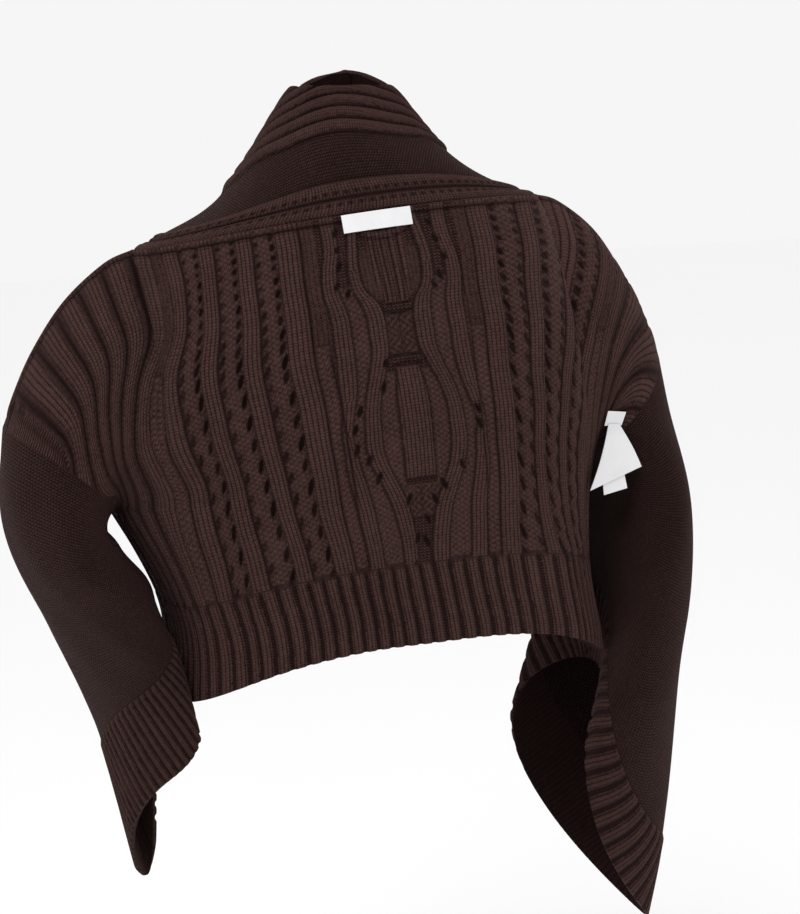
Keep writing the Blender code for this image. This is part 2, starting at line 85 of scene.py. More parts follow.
# Two cable strands each side of the middle: depth below the neck seam, then the inner strand's place
# and half width, and the outer strand's
STRANDS = [
    (0.000, 0.0200, 0.0036, 0.0400, 0.0052),
    (0.025, 0.0242, 0.0036, 0.0400, 0.0052),
    (0.040, 0.0256, 0.0036, 0.0430, 0.0052),
    (0.057, 0.0234, 0.0044, 0.0434, 0.0056),
    (0.065, 0.0190, 0.0056, 0.0418, 0.0060),
    (0.074, 0.0167, 0.0062, 0.0408, 0.0062),
    (0.088, 0.0163, 0.0062, 0.0408, 0.0062),
    (0.100, 0.0168, 0.0060, 0.0410, 0.0062),
    (0.113, 0.0208, 0.0056, 0.0420, 0.0062),
    (0.128, 0.0263, 0.0054, 0.0440, 0.0056),
    (0.142, 0.0296, 0.0054, 0.0465, 0.0042),
    (0.156, 0.0307, 0.0058, 0.0490, 0.0036),
    (0.171, 0.0312, 0.0060, 0.0485, 0.0042),
    (0.186, 0.0283, 0.0060, 0.0480, 0.0052),
    (0.200, 0.0227, 0.0060, 0.0460, 0.0060),
    (0.216, 0.0170, 0.0062, 0.0438, 0.0062),
    (0.235, 0.0136, 0.0062, 0.0432, 0.0062),
    (0.275, 0.0120, 0.0062, 0.0420, 0.0062),
]
# The cable panel's own eyelets: place across, to the left below 0, and depth
EYELETS = [
    (-0.0388, 0.050), (-0.0319, 0.056), (-0.0148, 0.109), (-0.0196, 0.126), (-0.0383, 0.141),
    (-0.0430, 0.154), (-0.0440, 0.169), (-0.0366, 0.178), (-0.0314, 0.192), (-0.0102, 0.211),
    (0.0379, 0.038), (0.0340, 0.051), (0.0288, 0.057), (0.0472, 0.149), (0.0476, 0.160),
    (0.0317, 0.190), (0.0165, 0.202), (0.0098, 0.213), (0.0037, 0.227), (0.0020, 0.244),
    (-0.0056, 0.241), (-0.0090, 0.262), (-0.0345, 0.012), (-0.0350, 0.024), (-0.0352, 0.036),
    (0.0325, 0.013), (0.0345, 0.025),
]
# Eyelets of a lace column counted down from the neck seam, and the depths of those counts
EYELET_NUMBERS = [0.0, 4.0, 7.2, 10.3, 12.0, 21.2]
EYELET_DEPTHS = [0.001, 0.030, 0.060, 0.090, 0.108, 0.266]

# How the columns run on the worn back. Six places on the flat, even back, from its middle: the three
# lines of eyelets and the edges of three outer ribs. Then for each depth, where the middle lies,
# where the left places lie and where the right ones do
PLACES = (0.0808, 0.1133, 0.1458, 0.1600, 0.1860, 0.2045)
RUN = [
    (0.000, 0.001, 0.0814, 0.1090, 0.1365, 0.1475, 0.1720, 0.2020,
     0.0990, 0.1560, 0.2280, 0.2440, 0.2620, 0.2760),
    (0.030, 0.002, 0.0830, 0.1127, 0.1396, 0.1485, 0.1724, 0.2025,
     0.0992, 0.1485, 0.2220, 0.2370, 0.2550, 0.2690),
    (0.060, 0.004, 0.0836, 0.1154, 0.1455, 0.1555, 0.1790, 0.2055,
     0.0960, 0.1415, 0.2100, 0.2260, 0.2450, 0.2600),
    (0.090, 0.005, 0.0854, 0.1200, 0.1540, 0.1685, 0.2020, 0.2230,
     0.0965, 0.1370, 0.1930, 0.2100, 0.2320, 0.2490),
    (0.130, 0.010, 0.0828, 0.1183, 0.1520, 0.1660, 0.2100, 0.2350,
     0.0968, 0.1310, 0.1660, 0.1860, 0.2150, 0.2350),
    (0.185, 0.0135, 0.0735, 0.1058, 0.1383, 0.1490, 0.1816, 0.2100,
     0.0990, 0.1270, 0.1540, 0.1660, 0.2000, 0.2200),
    (0.225, 0.009, 0.0705, 0.0998, 0.1370, 0.1480, 0.1856, 0.2090,
     0.0950, 0.1290, 0.1570, 0.1690, 0.1980, 0.2170),
    (0.262, 0.003, 0.0700, 0.1005, 0.1390, 0.1517, 0.1880, 0.2100,
     0.0880, 0.1370, 0.1620, 0.1740, 0.2000, 0.2180),
]

# Body. Level 0 is the hem and level 1 the underarm: half width, depth of the back, height at the
# middle of the back, height at the side, then the front's depth, and the front seam's X and Z
LEVEL_KNOTS = [0.0, 0.38, 0.70, 1.0]
LEVELS = [
    (0.178, 0.120, -0.331, -0.382, 0.118, 0.105, -0.370),
    (0.172, 0.123, -0.280, -0.318, 0.117, 0.114, -0.308),
    (0.181, 0.125, -0.236, -0.265, 0.114, 0.122, -0.253),
    (0.196, 0.125, -0.200, -0.216, 0.110, 0.128, -0.203),
]
SQUARENESS = 2.6
HEM_DIP = 3.0
BACK_HOLLOW = 0.012
FRONT_FULLNESS = (0.022, 0.010)

# Neck seam: half width, depth behind the origin, drop at the shoulder and height, then the shoulder
NECK_HALF = 0.165
NECK_DEPTH = 0.080
NECK_DROP = 0.014
NECK_LOW = 0.007
SHOULDER = [
    (0.165, -0.021),
    (0.188, -0.029),
    (0.219, -0.054),
    (0.243, -0.088),
    (0.258, -0.119),
    (0.269, -0.149),
]

# Sleeves, outward side positive: the outer, back, inner and front point of each ring
ARMHOLE = [(0.269, 0.0, -0.149), (0.224, -0.070, -0.187), (0.196, 0.0, -0.216), (0.224, 0.070, -0.187)]
ARMHOLE_OUTWARD = [(0.90, 0.0, 0.43), (0.15, -1.0, 0.0), (0.3, 0.0, -0.95), (0.15, 1.0, 0.0)]
FIRST_RING = [(0.2715, 0.0, -0.171), (0.230, -0.075, -0.202), (0.207, 0.0, -0.223), (0.230, 0.075, -0.202)]
UPPER_RING = [(0.276, 0.0, -0.243), (0.244, -0.084, -0.250), (0.209, 0.0, -0.252), (0.244, 0.084, -0.250)]
SLEEVES = {
    "right": [
        ARMHOLE,
        FIRST_RING,
        UPPER_RING,
        [(0.268, 0.005, -0.352), (0.218, -0.086, -0.335), (0.201, 0.0, -0.292), (0.222, 0.088, -0.325)],
        [(0.256, 0.010, -0.562), (0.177, -0.070, -0.453), (0.199, 0.0, -0.335), (0.182, 0.086, -0.425)],
        [(0.242, 0.010, -0.640), (0.160, -0.055, -0.503), (0.196, 0.0, -0.402), (0.157, 0.086, -0.492)],
    ],
    "left": [
        ARMHOLE,
        FIRST_RING,
        [(0.276, 0.0, -0.243), (0.238, -0.080, -0.250), (0.202, 0.0, -0.250), (0.244, 0.084, -0.250)],
        [(0.262, 0.0, -0.312), (0.217, -0.070, -0.292), (0.193, 0.0, -0.280), (0.238, 0.085, -0.325)],
        [(0.225, 0.0, -0.396), (0.195, -0.063, -0.338), (0.195, 0.0, -0.332), (0.212, 0.080, -0.430)],
        [(0.210, 0.0, -0.482), (0.177, -0.060, -0.410), (0.190, 0.0, -0.414), (0.184, 0.075, -0.555)],
    ],
}
RING_KNOTS = [0.0, 0.05, 0.25, 0.5, 0.82, 1.0]
CUFF_START = 0.82
CUFF_RIBS = 48
SLIDE_LIMIT = 0.8

# Collar stations, right half: where along the seam (0 back, 2 shoulder, 4 underarm level, 6 hem),
# the seam's outward direction, then the middle and the rim of the standing cloth
COLLAR_KNOTS = [-0.7, 0.0, 0.7, 1.3, 2.0, 2.5, 2.8, 3.1, 3.4, 4.0, 5.0, 6.0]
COLLAR = [
    (-0.25, -0.80, 0.50, -0.043, -0.064, 0.036, -0.023, -0.044, 0.084),
    (0.00, -0.95, 0.30, 0.000, -0.074, 0.042, 0.000, -0.048, 0.083),
    (0.25, -0.80, 0.50, 0.043, -0.064, 0.036, 0.023, -0.044, 0.084),
    (0.40, -0.50, 0.75, 0.074, -0.044, 0.026, 0.037, -0.027, 0.081),
    (0.45, 0.00, 0.90, 0.095, 0.004, 0.010, 0.052, 0.004, 0.058),
    (0.50, 0.50, 0.70, 0.088, 0.043, 0.000, 0.050, 0.030, 0.050),
    (0.48, 0.68, 0.55, 0.081, 0.065, -0.018, 0.030, 0.045, 0.086),
    (0.45, 0.80, 0.40, 0.075, 0.086, -0.040, 0.0006, 0.051, 0.097),
    (0.40, 0.87, 0.28, 0.072, 0.100, -0.070, 0.001, 0.061, 0.078),
    (0.30, 0.95, 0.10, 0.070, 0.122, -0.135, 0.005, 0.108, -0.035),
    (0.30, 0.95, 0.00, 0.062, 0.130, -0.235, 0.006, 0.130, -0.150),
    (0.30, 0.95, 0.00, 0.060, 0.128, -0.335, 0.012, 0.134, -0.265),
]
BAND = 0.027
ROLL_ZONE = 0.038
ROLLS = 3.5
ROLL_FALL = (0.026, 0.014)
LAP, LAP_APART = 0.004, 0.0035
LAP_FROM, LAP_TO, LAP_EASE = 2.9, 3.5, 0.15

# How it hangs: the right shoulder is higher, below the arms the cloth swings to the right, and the
# standing collar is turned, levelled and leant a little
SHOULDER_TILT = 0.09
TILT_FADES_BY = 0.33
SWING = 0.028
SWING_STARTS = 0.18
SWING_ENDS = 0.36
NECK_SHIFT = 0.006
COLLAR_LEVELS = 1.2
COLLAR_LEVELS_BY = 0.09
COLLAR_TURN = 0.38
COLLAR_LEAN = 0.006
COLLAR_TURNS_BY = 0.06

# Labels, all blank. The neck label's left and right edge on the back and its height; then the hung
# ones where they hang: top left, top right, bottom left and bottom right corner, and how far they bow
LABEL = 0.0008
NECK_LABEL = (-0.028, 0.026, 0.014)
HUNG_LABELS = {
    "size_tab": (
        (0.1915, -0.0722, -0.174), (0.2074, -0.0722, -0.176),
        (0.1890, -0.0706, -0.186), (0.2040, -0.0706, -0.187), 0.0,
    ),
    "care_label": (
        (0.1920, -0.0718, -0.185), (0.2015, -0.0718, -0.186),
        (0.1720, -0.0785, -0.236), (0.2170, -0.0800, -0.220), 0.003,
    ),
    "care_slip": (
        (0.1835, -0.0777, -0.229), (0.2015, -0.0783, -0.221),
        (0.1850, -0.0768, -0.241), (0.2055, -0.0773, -0.237), 0.0,
    ),
}

# How fine the finished sheets are, in cells. INNER_STEP divides those of each knitted sheet
INNER_STEP = 4
BACK_FINE, BACK_COARSE, FINE_HALF = 158, 74, 0.170
BACK_LOWER, BACK_UPPER = 80, 120
FRONT_COLUMNS = 80
SLEEVE_AROUND, SLEEVE_ALONG = 240, 132
CUFF_ALONG = 36
COLLAR_NECK, COLLAR_FRONT = 108, 116
LINE_POINTS = 700
LEAN = 0.018
SEAM_LEAN = 0.016
SIDE_LEAN = 0.010
SHARP_EDGE = 65
SETTLE_STEPS, SETTLE_SHARE = 80, 0.12

# Flat sizes of the cut. A slanted tube's length is its mean length times this, for its long side
BACK_LENGTH = 0.36
FRONT_FLAT = (0.19, 0.40)
COLLAR_FLAT = (1.25, 0.21)
SLEEVE_LONG_SIDE, CUFF_LONG_SIDE = 1.2, 1.3

# Camera and light
AZIMUTH, ELEVATION, ROLL = -20.0, 10.0, 1.5
TARGET = (0.0, 0.0, -0.20)
DISTANCE = 1.6
LENS = 90.0
SHIFT = (0.060, -0.010)
FLOOR = -1.10

# Painted shadow for the hollows of the relief, then the yarn painted in shade between its stitches and
# painted lit on top of them
PAINTED_SHADOW = (0.0022, 0.0010, 0.0009, 1)
SHADED_YARN = (0.0100, 0.0048, 0.0043, 1)
LIT_YARN = (0.0660, 0.0345, 0.0310, 1)

TURN = 2 * math.pi


def ease(x):
    x = np.clip(x, 0.0, 1.0)
    return x * x * (3.0 - 2.0 * x)


def unit(vectors):
    return vectors / np.linalg.norm(vectors, axis=-1, keepdims=True)


def flow(knots, values, at):
    """A smooth curve through the rows of a table."""
    knots, values = np.asarray(knots, float), np.asarray(values, float)
    slopes = np.gradient(values, knots, axis=0)
    at = np.clip(np.asarray(at, float), knots[0], knots[-1])
    row = np.clip(np.searchsorted(knots, at, side="right") - 1, 0, len(knots) - 2)
    step = knots[row + 1] - knots[row]
    part = (at - knots[row]) / step
    extra = (1,) * (values.ndim - 1)
    step, part = step.reshape(step.shape + extra), part.reshape(part.shape + extra)
    return (
        (1 + 2 * part) * (1 - part) ** 2 * values[row]
        + part * (1 - part) ** 2 * step * slopes[row]
        + part**2 * (3 - 2 * part) * values[row + 1]
        + part**2 * (part - 1) * step * slopes[row + 1]
    )


def at_shares(line, shares):
    """The points of a line at these shares of its length."""
    along = np.concatenate([[0.0], np.cumsum(np.linalg.norm(np.diff(line, axis=0), axis=1))])
    return np.stack([np.interp(shares * along[-1], along, line[:, k]) for k in range(3)], -1)


def length(line):
    return np.linalg.norm(np.diff(line, axis=0), axis=1).sum()


def at_columns(line, across):
    """Points of a half row at distances across the flat cloth, which bunches towards the side."""
    stretch = length(line) / FLAT_HALF
    share = np.linspace(0.0, 1.0, 2000)
    taken = stretch * share + (1 - stretch) * share**4
    return at_shares(line, np.interp(across / FLAT_HALF, taken, share))


def ring(four, angle):
    """A closed curve through four points: outer at angle 0, back, inner and front."""
    outer, back, inner, front = (np.asarray(point, float) for point in four)
    middle = (outer + back + inner + front) / 4
    angle = np.asarray(angle, float)[..., None]
    return (
        middle
        + (outer - inner) / 2 * np.cos(angle)
        + (back - front) / 2 * np.sin(angle)
        + (outer + inner - back - front) / 4 * np.cos(2 * angle)
    )


# ---- body

def level(height):
    return flow(LEVEL_KNOTS, LEVELS, height)


def back_level_line(height):
    """Half a row of the back below the arms, from its middle to the side seam."""
    half, depth, middle_z, side_z = level(height)[:4]
    turn = np.linspace(0.0, math.pi / 2, LINE_POINTS)
    x = half * np.sin(turn) ** (2 / SQUARENESS)
    y = -depth * np.cos(turn) ** (2 / SQUARENESS)
    y[-1] = 0.0
    return np.stack([x, y, middle_z + (side_z - middle_z) * (x / half) ** HEM_DIP], -1)


def front_level_line(height):
    """A row of one front below the arms, from the collar seam to the side seam."""
    half, _, _, side_z, depth, seam_x, seam_z = level(height)
    start = math.asin((seam_x / half) ** (SQUARENESS / 2))
    turn = np.linspace(start, math.pi / 2, LINE_POINTS)
    x = half * np.sin(turn) ** (2 / SQUARENESS)
    y = depth * np.cos(turn) ** (2 / SQUARENESS)
    y[-1] = 0.0
    return np.stack([x, y, side_z + (seam_z - side_z) * (half - x) / (half - seam_x)], -1)


def neck_line():
    turn = np.linspace(0.0, math.pi / 2, LINE_POINTS)
    sine = np.sin(turn)
    return np.stack([NECK_HALF * sine, -NECK_DEPTH * np.cos(turn), -NECK_LOW - NECK_DROP * sine**2], -1)


def shoulder_line():
    outline = flow(range(len(SHOULDER)), SHOULDER, np.linspace(0, len(SHOULDER) - 1, LINE_POINTS))
    return np.stack([outline[:, 0], 0 * outline[:, 0], outline[:, 1]], -1)


NECK_LINE = neck_line()
TOP_LINE = np.concatenate([NECK_LINE, shoulder_line()[1:]])
UNDER_LINE = back_level_line(1.0)
NECK_TO_UNDERARM = abs(UNDER_LINE[0, 2] + NECK_LOW)


def neck_column():
    """The distance across the flat back at which the neck seam meets the shoulder."""
    stretch = length(TOP_LINE) / FLAT_HALF
    share = length(NECK_LINE) / length(TOP_LINE)
    return FLAT_HALF * (stretch * share + (1 - stretch) * share**4)


NECK_COLUMN = neck_column()


def armhole_bulge(rise, side_of_arm):
    """How far an armhole's edge stands off the straight line from underarm to shoulder."""
    outer, back, inner, front = (np.asarray(point) for point in ARMHOLE)
    sine = np.sin(math.pi * rise)
    reach = (back - front) / 2 * side_of_arm
    return reach * sine - (outer + inner - back - front) / 2 * sine**2


def rise_share(rise, edge):
    """How far up from the underarm row a point lies: evenly in the middle, on an arc at the armhole."""
    return rise + ((1 - np.cos(math.pi * rise)) / 2 - rise) * edge**3


def raised_row(under, top, edge, rise, middle_bulge, edge_bulge, power):
    """A row between the underarm row and the top row; edge is 1 at the armhole."""
    edge = edge[:, None]
    share = rise_share(rise, edge)
    bulge = (1 - edge**power) * np.asarray(middle_bulge) * math.sin(math.pi * rise) + edge**power * edge_bulge
    return (1 - share) * under + share * top + bulge


def back_row(height, across):
    """Half a row of the back: height 0 is the hem, 1 the underarm, 2 the neck and shoulder seam."""
    if height <= 1:
        return at_columns(back_level_line(height), across)
    under, top = at_columns(UNDER_LINE, across), at_columns(TOP_LINE, across)
    rise = height - 1
    return raised_row(
        under, top, across / FLAT_HALF, rise, (0, -BACK_HOLLOW, 0), armhole_bulge(rise, 1), 2
    )


def front_row(height, across):
    """A row of one front, for columns from NECK_COLUMN to FLAT_HALF."""
    share = (across - NECK_COLUMN) / (FLAT_HALF - NECK_COLUMN)
    under = at_shares(front_level_line(min(height, 1.0)), share)
    if height <= 1:
        return under
    rise = height - 1
    middle = (0, *FRONT_FULLNESS)
    top = at_columns(TOP_LINE, across)
    return raised_row(under, top, share, rise, middle, armhole_bulge(rise, -1), 1)


def depth_below_neck(heights):
    """How far below the neck seam each row lies on the flat back."""
    lower = np.array([-level(min(height, 1.0))[2] - NECK_LOW for height in heights])
    return np.where(heights > 1, NECK_TO_UNDERARM * (2 - heights), lower)


# ---- directions out of the cloth

def outward(points, around=False):
    """Unit normals of a sheet of points: rows go up or along, columns to the right from outside."""
    padded = np.concatenate([points[:, -2:-1], points, points[:, 1:2]], 1) if around else points
    down_columns = np.gradient(padded, axis=0)
    across_columns = np.gradient(padded, axis=1)
    normals = unit(np.cross(across_columns, down_columns))
    return normals[:, 1:-1] if around else normals


def top_outward(across):
    """Outward direction at the neck and shoulder seam."""
    points = at_columns(TOP_LINE, across)
    neck = collar_table(2 * np.clip(across / NECK_COLUMN, 0, 1))[:, :3]
    tangent = np.gradient(TOP_LINE, axis=0)
    fine = unit(np.stack([-tangent[:, 2], 0 * tangent[:, 0], tangent[:, 0]], -1))
    nearest = np.argmin(np.linalg.norm(points[:, None] - TOP_LINE[None], axis=-1), axis=1)
    return np.where(across[:, None] <= NECK_COLUMN + 1e-6, unit(neck), fine[nearest])


def armhole_outward(angle):
    return unit(ring(ARMHOLE_OUTWARD, angle))


def lean(points, directions, seam, seam_directions, reach=LEAN):
    """Turns the directions near a seam towards the seam's, and says how far each one is its own."""
    turned, own = np.empty_like(directions), np.empty(points.shape[:2])
    for row, line in enumerate(points):
        apart = np.linalg.norm(line[:, None] - seam, axis=-1)
        own[row] = ease(apart.min(-1) / reach)
        turned[row] = seam_directions[apart.argmin(-1)]
    return unit(directions * own[..., None] + turned * (1 - own[..., None])), own


def blended(directions, target, share):
    """Directions turned by a share towards a target's."""
    return unit(directions * (1 - share) + target * share)


def square_at_top(directions, across, depth):
    near = ease(1 - depth / SEAM_LEAN)[:, None, None]
    return blended(directions, top_outward(across), near)


def square_at_side(directions, across, heights):
    near = ease((across - FLAT_HALF + SIDE_LEAN) / SIDE_LEAN)[None, :, None] * (heights < 1)[:, None, None]
    return blended(directions, np.array((1.0, 0, 0)), near)


def mirrored(half, turn=1):
    """A whole sheet from its right half. Turn makes a point or value its mirror image."""
    return np.concatenate([half[:, :0:-1] * turn, half], 1)


# ---- collar

def collar_table(station):
    return flow(COLLAR_KNOTS, COLLAR, station)


def collar_cross(base, station, shares):
    """The collar's section at one station, from its seam to its rim."""
    row = collar_table(np.array([station]))[0]
    knots = [0.0, 0.5, 1.0]
    return at_shares(flow(knots, [base, row[3:6], row[6:9]], np.linspace(0, 1, 200)), shares)


# ---- how it hangs

def hang(points):
    """Turns the evenly made garment into the one that hangs a little askew."""
    x, y, z = np.moveaxis(points, -1, 0)
    share = ease(z / COLLAR_TURNS_BY)
    turn = COLLAR_TURN * share
    x, y = x * np.cos(turn) + y * np.sin(turn), y * np.cos(turn) - x * np.sin(turn)
    tilt = np.clip(1 + z / TILT_FADES_BY, 0, 1) - COLLAR_LEVELS * ease(z / COLLAR_LEVELS_BY)
    swing = SWING * ease((-z - SWING_STARTS) / (SWING_ENDS - SWING_STARTS))
    return np.stack([x + swing - NECK_SHIFT + COLLAR_LEAN * share, y, z + SHOULDER_TILT * x * tilt], -1)


# ---- shaders

class Value:
    """A shader socket that takes part in Python expressions."""

    def __init__(self, shader, socket):
        self.shader, self.socket = shader, socket

    def maths(self, operation, *values):
        return self.shader.maths(operation, self, *values)

    def __add__(self, other):
        return self.maths("ADD", other)

    def __mul__(self, other):
        return self.maths("MULTIPLY", other)

    def __sub__(self, other):
        return self.maths("SUBTRACT", other)

    def __rsub__(self, other):
        return self.shader.maths("SUBTRACT", other, self)

    def __pow__(self, other):
        return self.maths("POWER", other)

    def __abs__(self):
        return self.maths("ABSOLUTE")

    __radd__, __rmul__ = __add__, __mul__

    def fraction(self):
        return self.maths("FRACT")

    def cosine(self):
        return self.maths("COSINE")

    def clipped(self):
        return self.maths("MINIMUM", 1.0).maths("MAXIMUM", 0.0)


class Shader:
    """A material and the nodes that its look is worked out with."""

    def __init__(self, name, **constants):
        self.made = bpy.data.materials.new(name)
        self.made.use_nodes = True
        self.tree = self.made.node_tree
        self.surface = self.tree.nodes["Principled BSDF"]
        for socket, value in constants.items():
            self.surface.inputs[socket.replace("_", " ")].default_value = value

    def node(self, kind, settings=(), values=(), out=0):
        made = self.tree.nodes.new(kind)
        for setting, value in dict(settings).items():
            if setting == "stops":
                for stop, (place, colour) in zip(made.color_ramp.elements, value):
                    stop.position, stop.color = place, colour
            else:
                setattr(made, setting, value)
        for socket, value in dict(values).items():
            self.put(made.inputs[socket], value)
        return Value(self, made.outputs[out])

    def put(self, socket, value):
        if isinstance(value, Value):
            self.tree.links.new(value.socket, socket)
        else:
            socket.default_value = value

    def maths(self, operation, *values):
        return self.node("ShaderNodeMath", {"operation": operation}, dict(enumerate(values)))

    def attribute(self, name):
        return self.node("ShaderNodeAttribute", {"attribute_name": name}, out=2)

    def mixed(self, share, first, second):
        return self.node(
            "ShaderNodeMix", {"data_type": "RGBA"}, {0: share, 6: first, 7: second}, out=2
        )

    def stitches(self):
        """The wale and course numbers of the UV map."""
        uv = self.node("ShaderNodeUVMap", {"uv_map": "stitches"})
        split = self.node("ShaderNodeSeparateXYZ", values={0: uv}).socket.node
        return Value(self, split.outputs[0]), Value(self, split.outputs[1])

    def surface_from(self, **values):
        for socket, value in values.items():
            self.put(self.surface.inputs[socket.replace("_", " ")], value)
        return self.made


def yarn(name):
    """Fuzzy wool yarn in knit and purl stitches that follow the sheet's wales and courses, with light painted
    on the stitches' tops and shade painted between them and into the relief's hollows.
    """
    shader = Shader(
        name, Specular_IOR_Level=0.06, Specular_Tint=(1, 0.6, 0.55, 1),
        Sheen_Weight=0.05, Sheen_Roughness=0.5, Sheen_Tint=(0.9, 0.55, 0.5, 1),
    )
    wale, course = shader.stitches()
    purl, slant, shade_share = (shader.attribute(kind) for kind in ("purl", "slant", "painted_shade"))
    place = shader.node("ShaderNodeTexCoord", out=3)
    fuzz = shader.node("ShaderNodeTexNoise", {}, {"Vector": place, "Scale": 1400.0, "Detail": 3.0})
    heather = shader.node("ShaderNodeTexNoise", {}, {"Vector": place, "Scale": 380.0, "Detail": 4.0})
    patches = shader.node("ShaderNodeTexNoise", {}, {"Vector": place, "Scale": 26.0, "Detail": 2.0})
    side = abs(wale.fraction() - 0.5) * 2
    tip = ((course + side * 0.5 + heather * 0.4).fraction() - 0.5) * 2
    knit = (1 - 0.9 * side**4) * (1 - 0.5 * tip * tip)
    arch = (TURN * wale).cosine() * 0.22
    rows = course * (1 - 0.45 * abs(slant)) + slant * wale * 0.55 + arch + heather * 0.7
    bead = 0.5 + 0.5 * (TURN * rows).cosine()
    beads = bead * (0.78 + 0.22 * (TURN * wale).cosine())
    flat = 0.5 * abs(slant)
    height = (knit * (1 - purl) + (flat + (1 - flat) * beads) * purl).clipped()
    # Painted light and shade: the stitches' tops lighter and their sides darker, mixed with the heather and
    # patches of the yarn's own tone
    lit_and_heather = (height * 1.05 + heather * 0.9 + patches * 0.3 - 0.87).clipped()
    colour = shader.mixed(lit_and_heather, SHADED_YARN, LIT_YARN)
    # Painted shade: the relief's grooves, eyelets and hollows mixed towards the painted shadow colour
    shaded = shader.mixed(shade_share.clipped(), colour, PAINTED_SHADOW)
    bump = shader.node(
        "ShaderNodeBump",
        values={"Strength": 1.0, "Distance": 0.0008, "Height": height + fuzz * 0.35 + heather * 0.3},
    )
    return shader.surface_from(Base_Color=shaded, Roughness=0.88 + 0.1 * fuzz, Normal=bump)


def tape(name, shine):
    """White label tape, woven fine."""
    shader = Shader(name, Specular_IOR_Level=0.35, Sheen_Weight=0.15)
    across, along = shader.stitches()
    weave = (TURN * across).cosine() * (TURN * along).cosine() * 0.5 + 0.5
    place = shader.node("ShaderNodeTexCoord", out=3)
    soil = shader.node("ShaderNodeTexNoise", {}, {"Vector": place, "Scale": 60.0, "Detail": 3.0})
    colour = shader.mixed(soil * 0.5 + weave * 0.15, (0.62, 0.62, 0.63, 1), (0.83, 0.83, 0.84, 1))
    bump = shader.node("ShaderNodeBump", values={"Strength": 0.6, "Distance": 0.00015, "Height": weave})
    return shader.surface_from(Base_Color=colour, Roughness=shine + 0.15 * weave, Normal=bump)


# ---- making pieces

def cells(rows, columns):
    """The four corners of each cell of a grid, as row and column numbers."""
    row, column = np.meshgrid(np.arange(rows - 1), np.arange(columns - 1), indexing="ij")
    corners = [(row, column), (row, column + 1), (row + 1, column + 1), (row + 1, column)]
    return np.stack([np.stack(corner, -1) for corner in corners], -2).reshape(-1, 4, 2)


def edge_path(rows, columns, around):
    """The grid's edge as runs of row and column numbers, in the order in which its cells turn."""
    bottom = [(0, column) for column in range(columns)]
    top = [(rows - 1, column) for column in reversed(range(columns))]
    if around:
        return [bottom, top]
    right = [(row, columns - 1) for row in range(rows)]
    left = [(row, 0) for row in reversed(range(rows))]
    return [bottom, right, top, left]


def wall(name, inner, outer, stitches, shades, around):
    """A closed wall: the fine outer sheet, an inner sheet of fewer points, and the edge between them."""
    rows, columns = outer.shape[:2]
    sizes = [(rows, columns), ((rows - 1) // INNER_STEP + 1, (columns - 1) // INNER_STEP + 1)]
    strides = [size[1] - 1 if around else size[1] for size in sizes]
    starts = [0, rows * strides[0]]
    sheets = [outer, inner[::INNER_STEP, ::INNER_STEP]]
    points = np.concatenate([sheet[:, :stride].reshape(-1, 3) for sheet, stride in zip(sheets, strides)])
    faces, places = [], []

    def add(corners, sides):
        """Corners are row and column numbers on the sheet that sides names, 0 outer and 1 inner."""
        corners, sides = np.asarray(corners), np.asarray(sides)
        stride = np.take(strides, sides)
        column = corners[..., 1] % stride if around else corners[..., 1]
        faces.extend((np.take(starts, sides) + corners[..., 0] * stride + column).tolist())
        places.append((corners * np.where(sides == 1, INNER_STEP, 1)[..., None]).reshape(-1, 2))

    add(cells(*sizes[0]), np.zeros((len(cells(*sizes[0])), 4), int))
    add(cells(*sizes[1])[:, ::-1], np.ones((len(cells(*sizes[1])), 4), int))
    strips = []
    for run in edge_path(rows, columns, around):
        for start in range(0, len(run) - 1, INNER_STEP):
            fine = run[start:start + INNER_STEP + 1]
            first, last = (tuple(k // INNER_STEP for k in place) for place in (fine[0], fine[-1]))
            half = INNER_STEP // 2
            for number, (here, there) in enumerate(zip(fine[:-1], fine[1:])):
                strips.append([(0, there), (0, here), (1, first if number < half else last)])
            strips.append([(0, fine[half]), (1, first), (1, last)])
    strip_places = [[place for _, place in strip] for strip in strips]
    add(strip_places, [[side for side, _ in strip] for strip in strips])

    normals = np.cross(outer[:-1, 1:] - outer[:-1, :-1], outer[1:, :-1] - outer[:-1, :-1])
    if (normals * (outer - inner)[:-1, :-1]).sum() < 0:
        faces = [face[::-1] for face in faces]
        places = [
            block.reshape(-1, size, 2)[:, ::-1].reshape(-1, 2) for block, size in zip(places, (4, 4, 3))
        ]
    mesh = bpy.data.meshes.new(name)
    mesh.from_pydata(points, [], faces)
    corners = np.concatenate(places)
    layer = mesh.uv_layers.new(name="stitches")
    layer.uv.foreach_set("vector", stitches[corners[:, 0], corners[:, 1]].astype("f").ravel())
    for shade, values in shades.items():
        # The inner sheet takes the mean of each value, and at least the inside's painted shade
        inside = max(values.mean(), INSIDE_PAINTED_SHADE) if shade == "painted_shade" else values.mean()
        both = [values, np.full(sheets[1].shape[:2], inside)]
        flat = np.concatenate([v[:, :stride].ravel() for v, stride in zip(both, strides)])
        mesh.attributes.new(shade, "FLOAT", "POINT").data.foreach_set("value", flat.astype("f"))
    mesh.update()
    return mesh


def sheet_area(points):
    across, along = np.diff(points, axis=1)[:-1], np.diff(points, axis=0)[:, :-1]
    return np.linalg.norm(np.cross(across, along), axis=-1).sum()


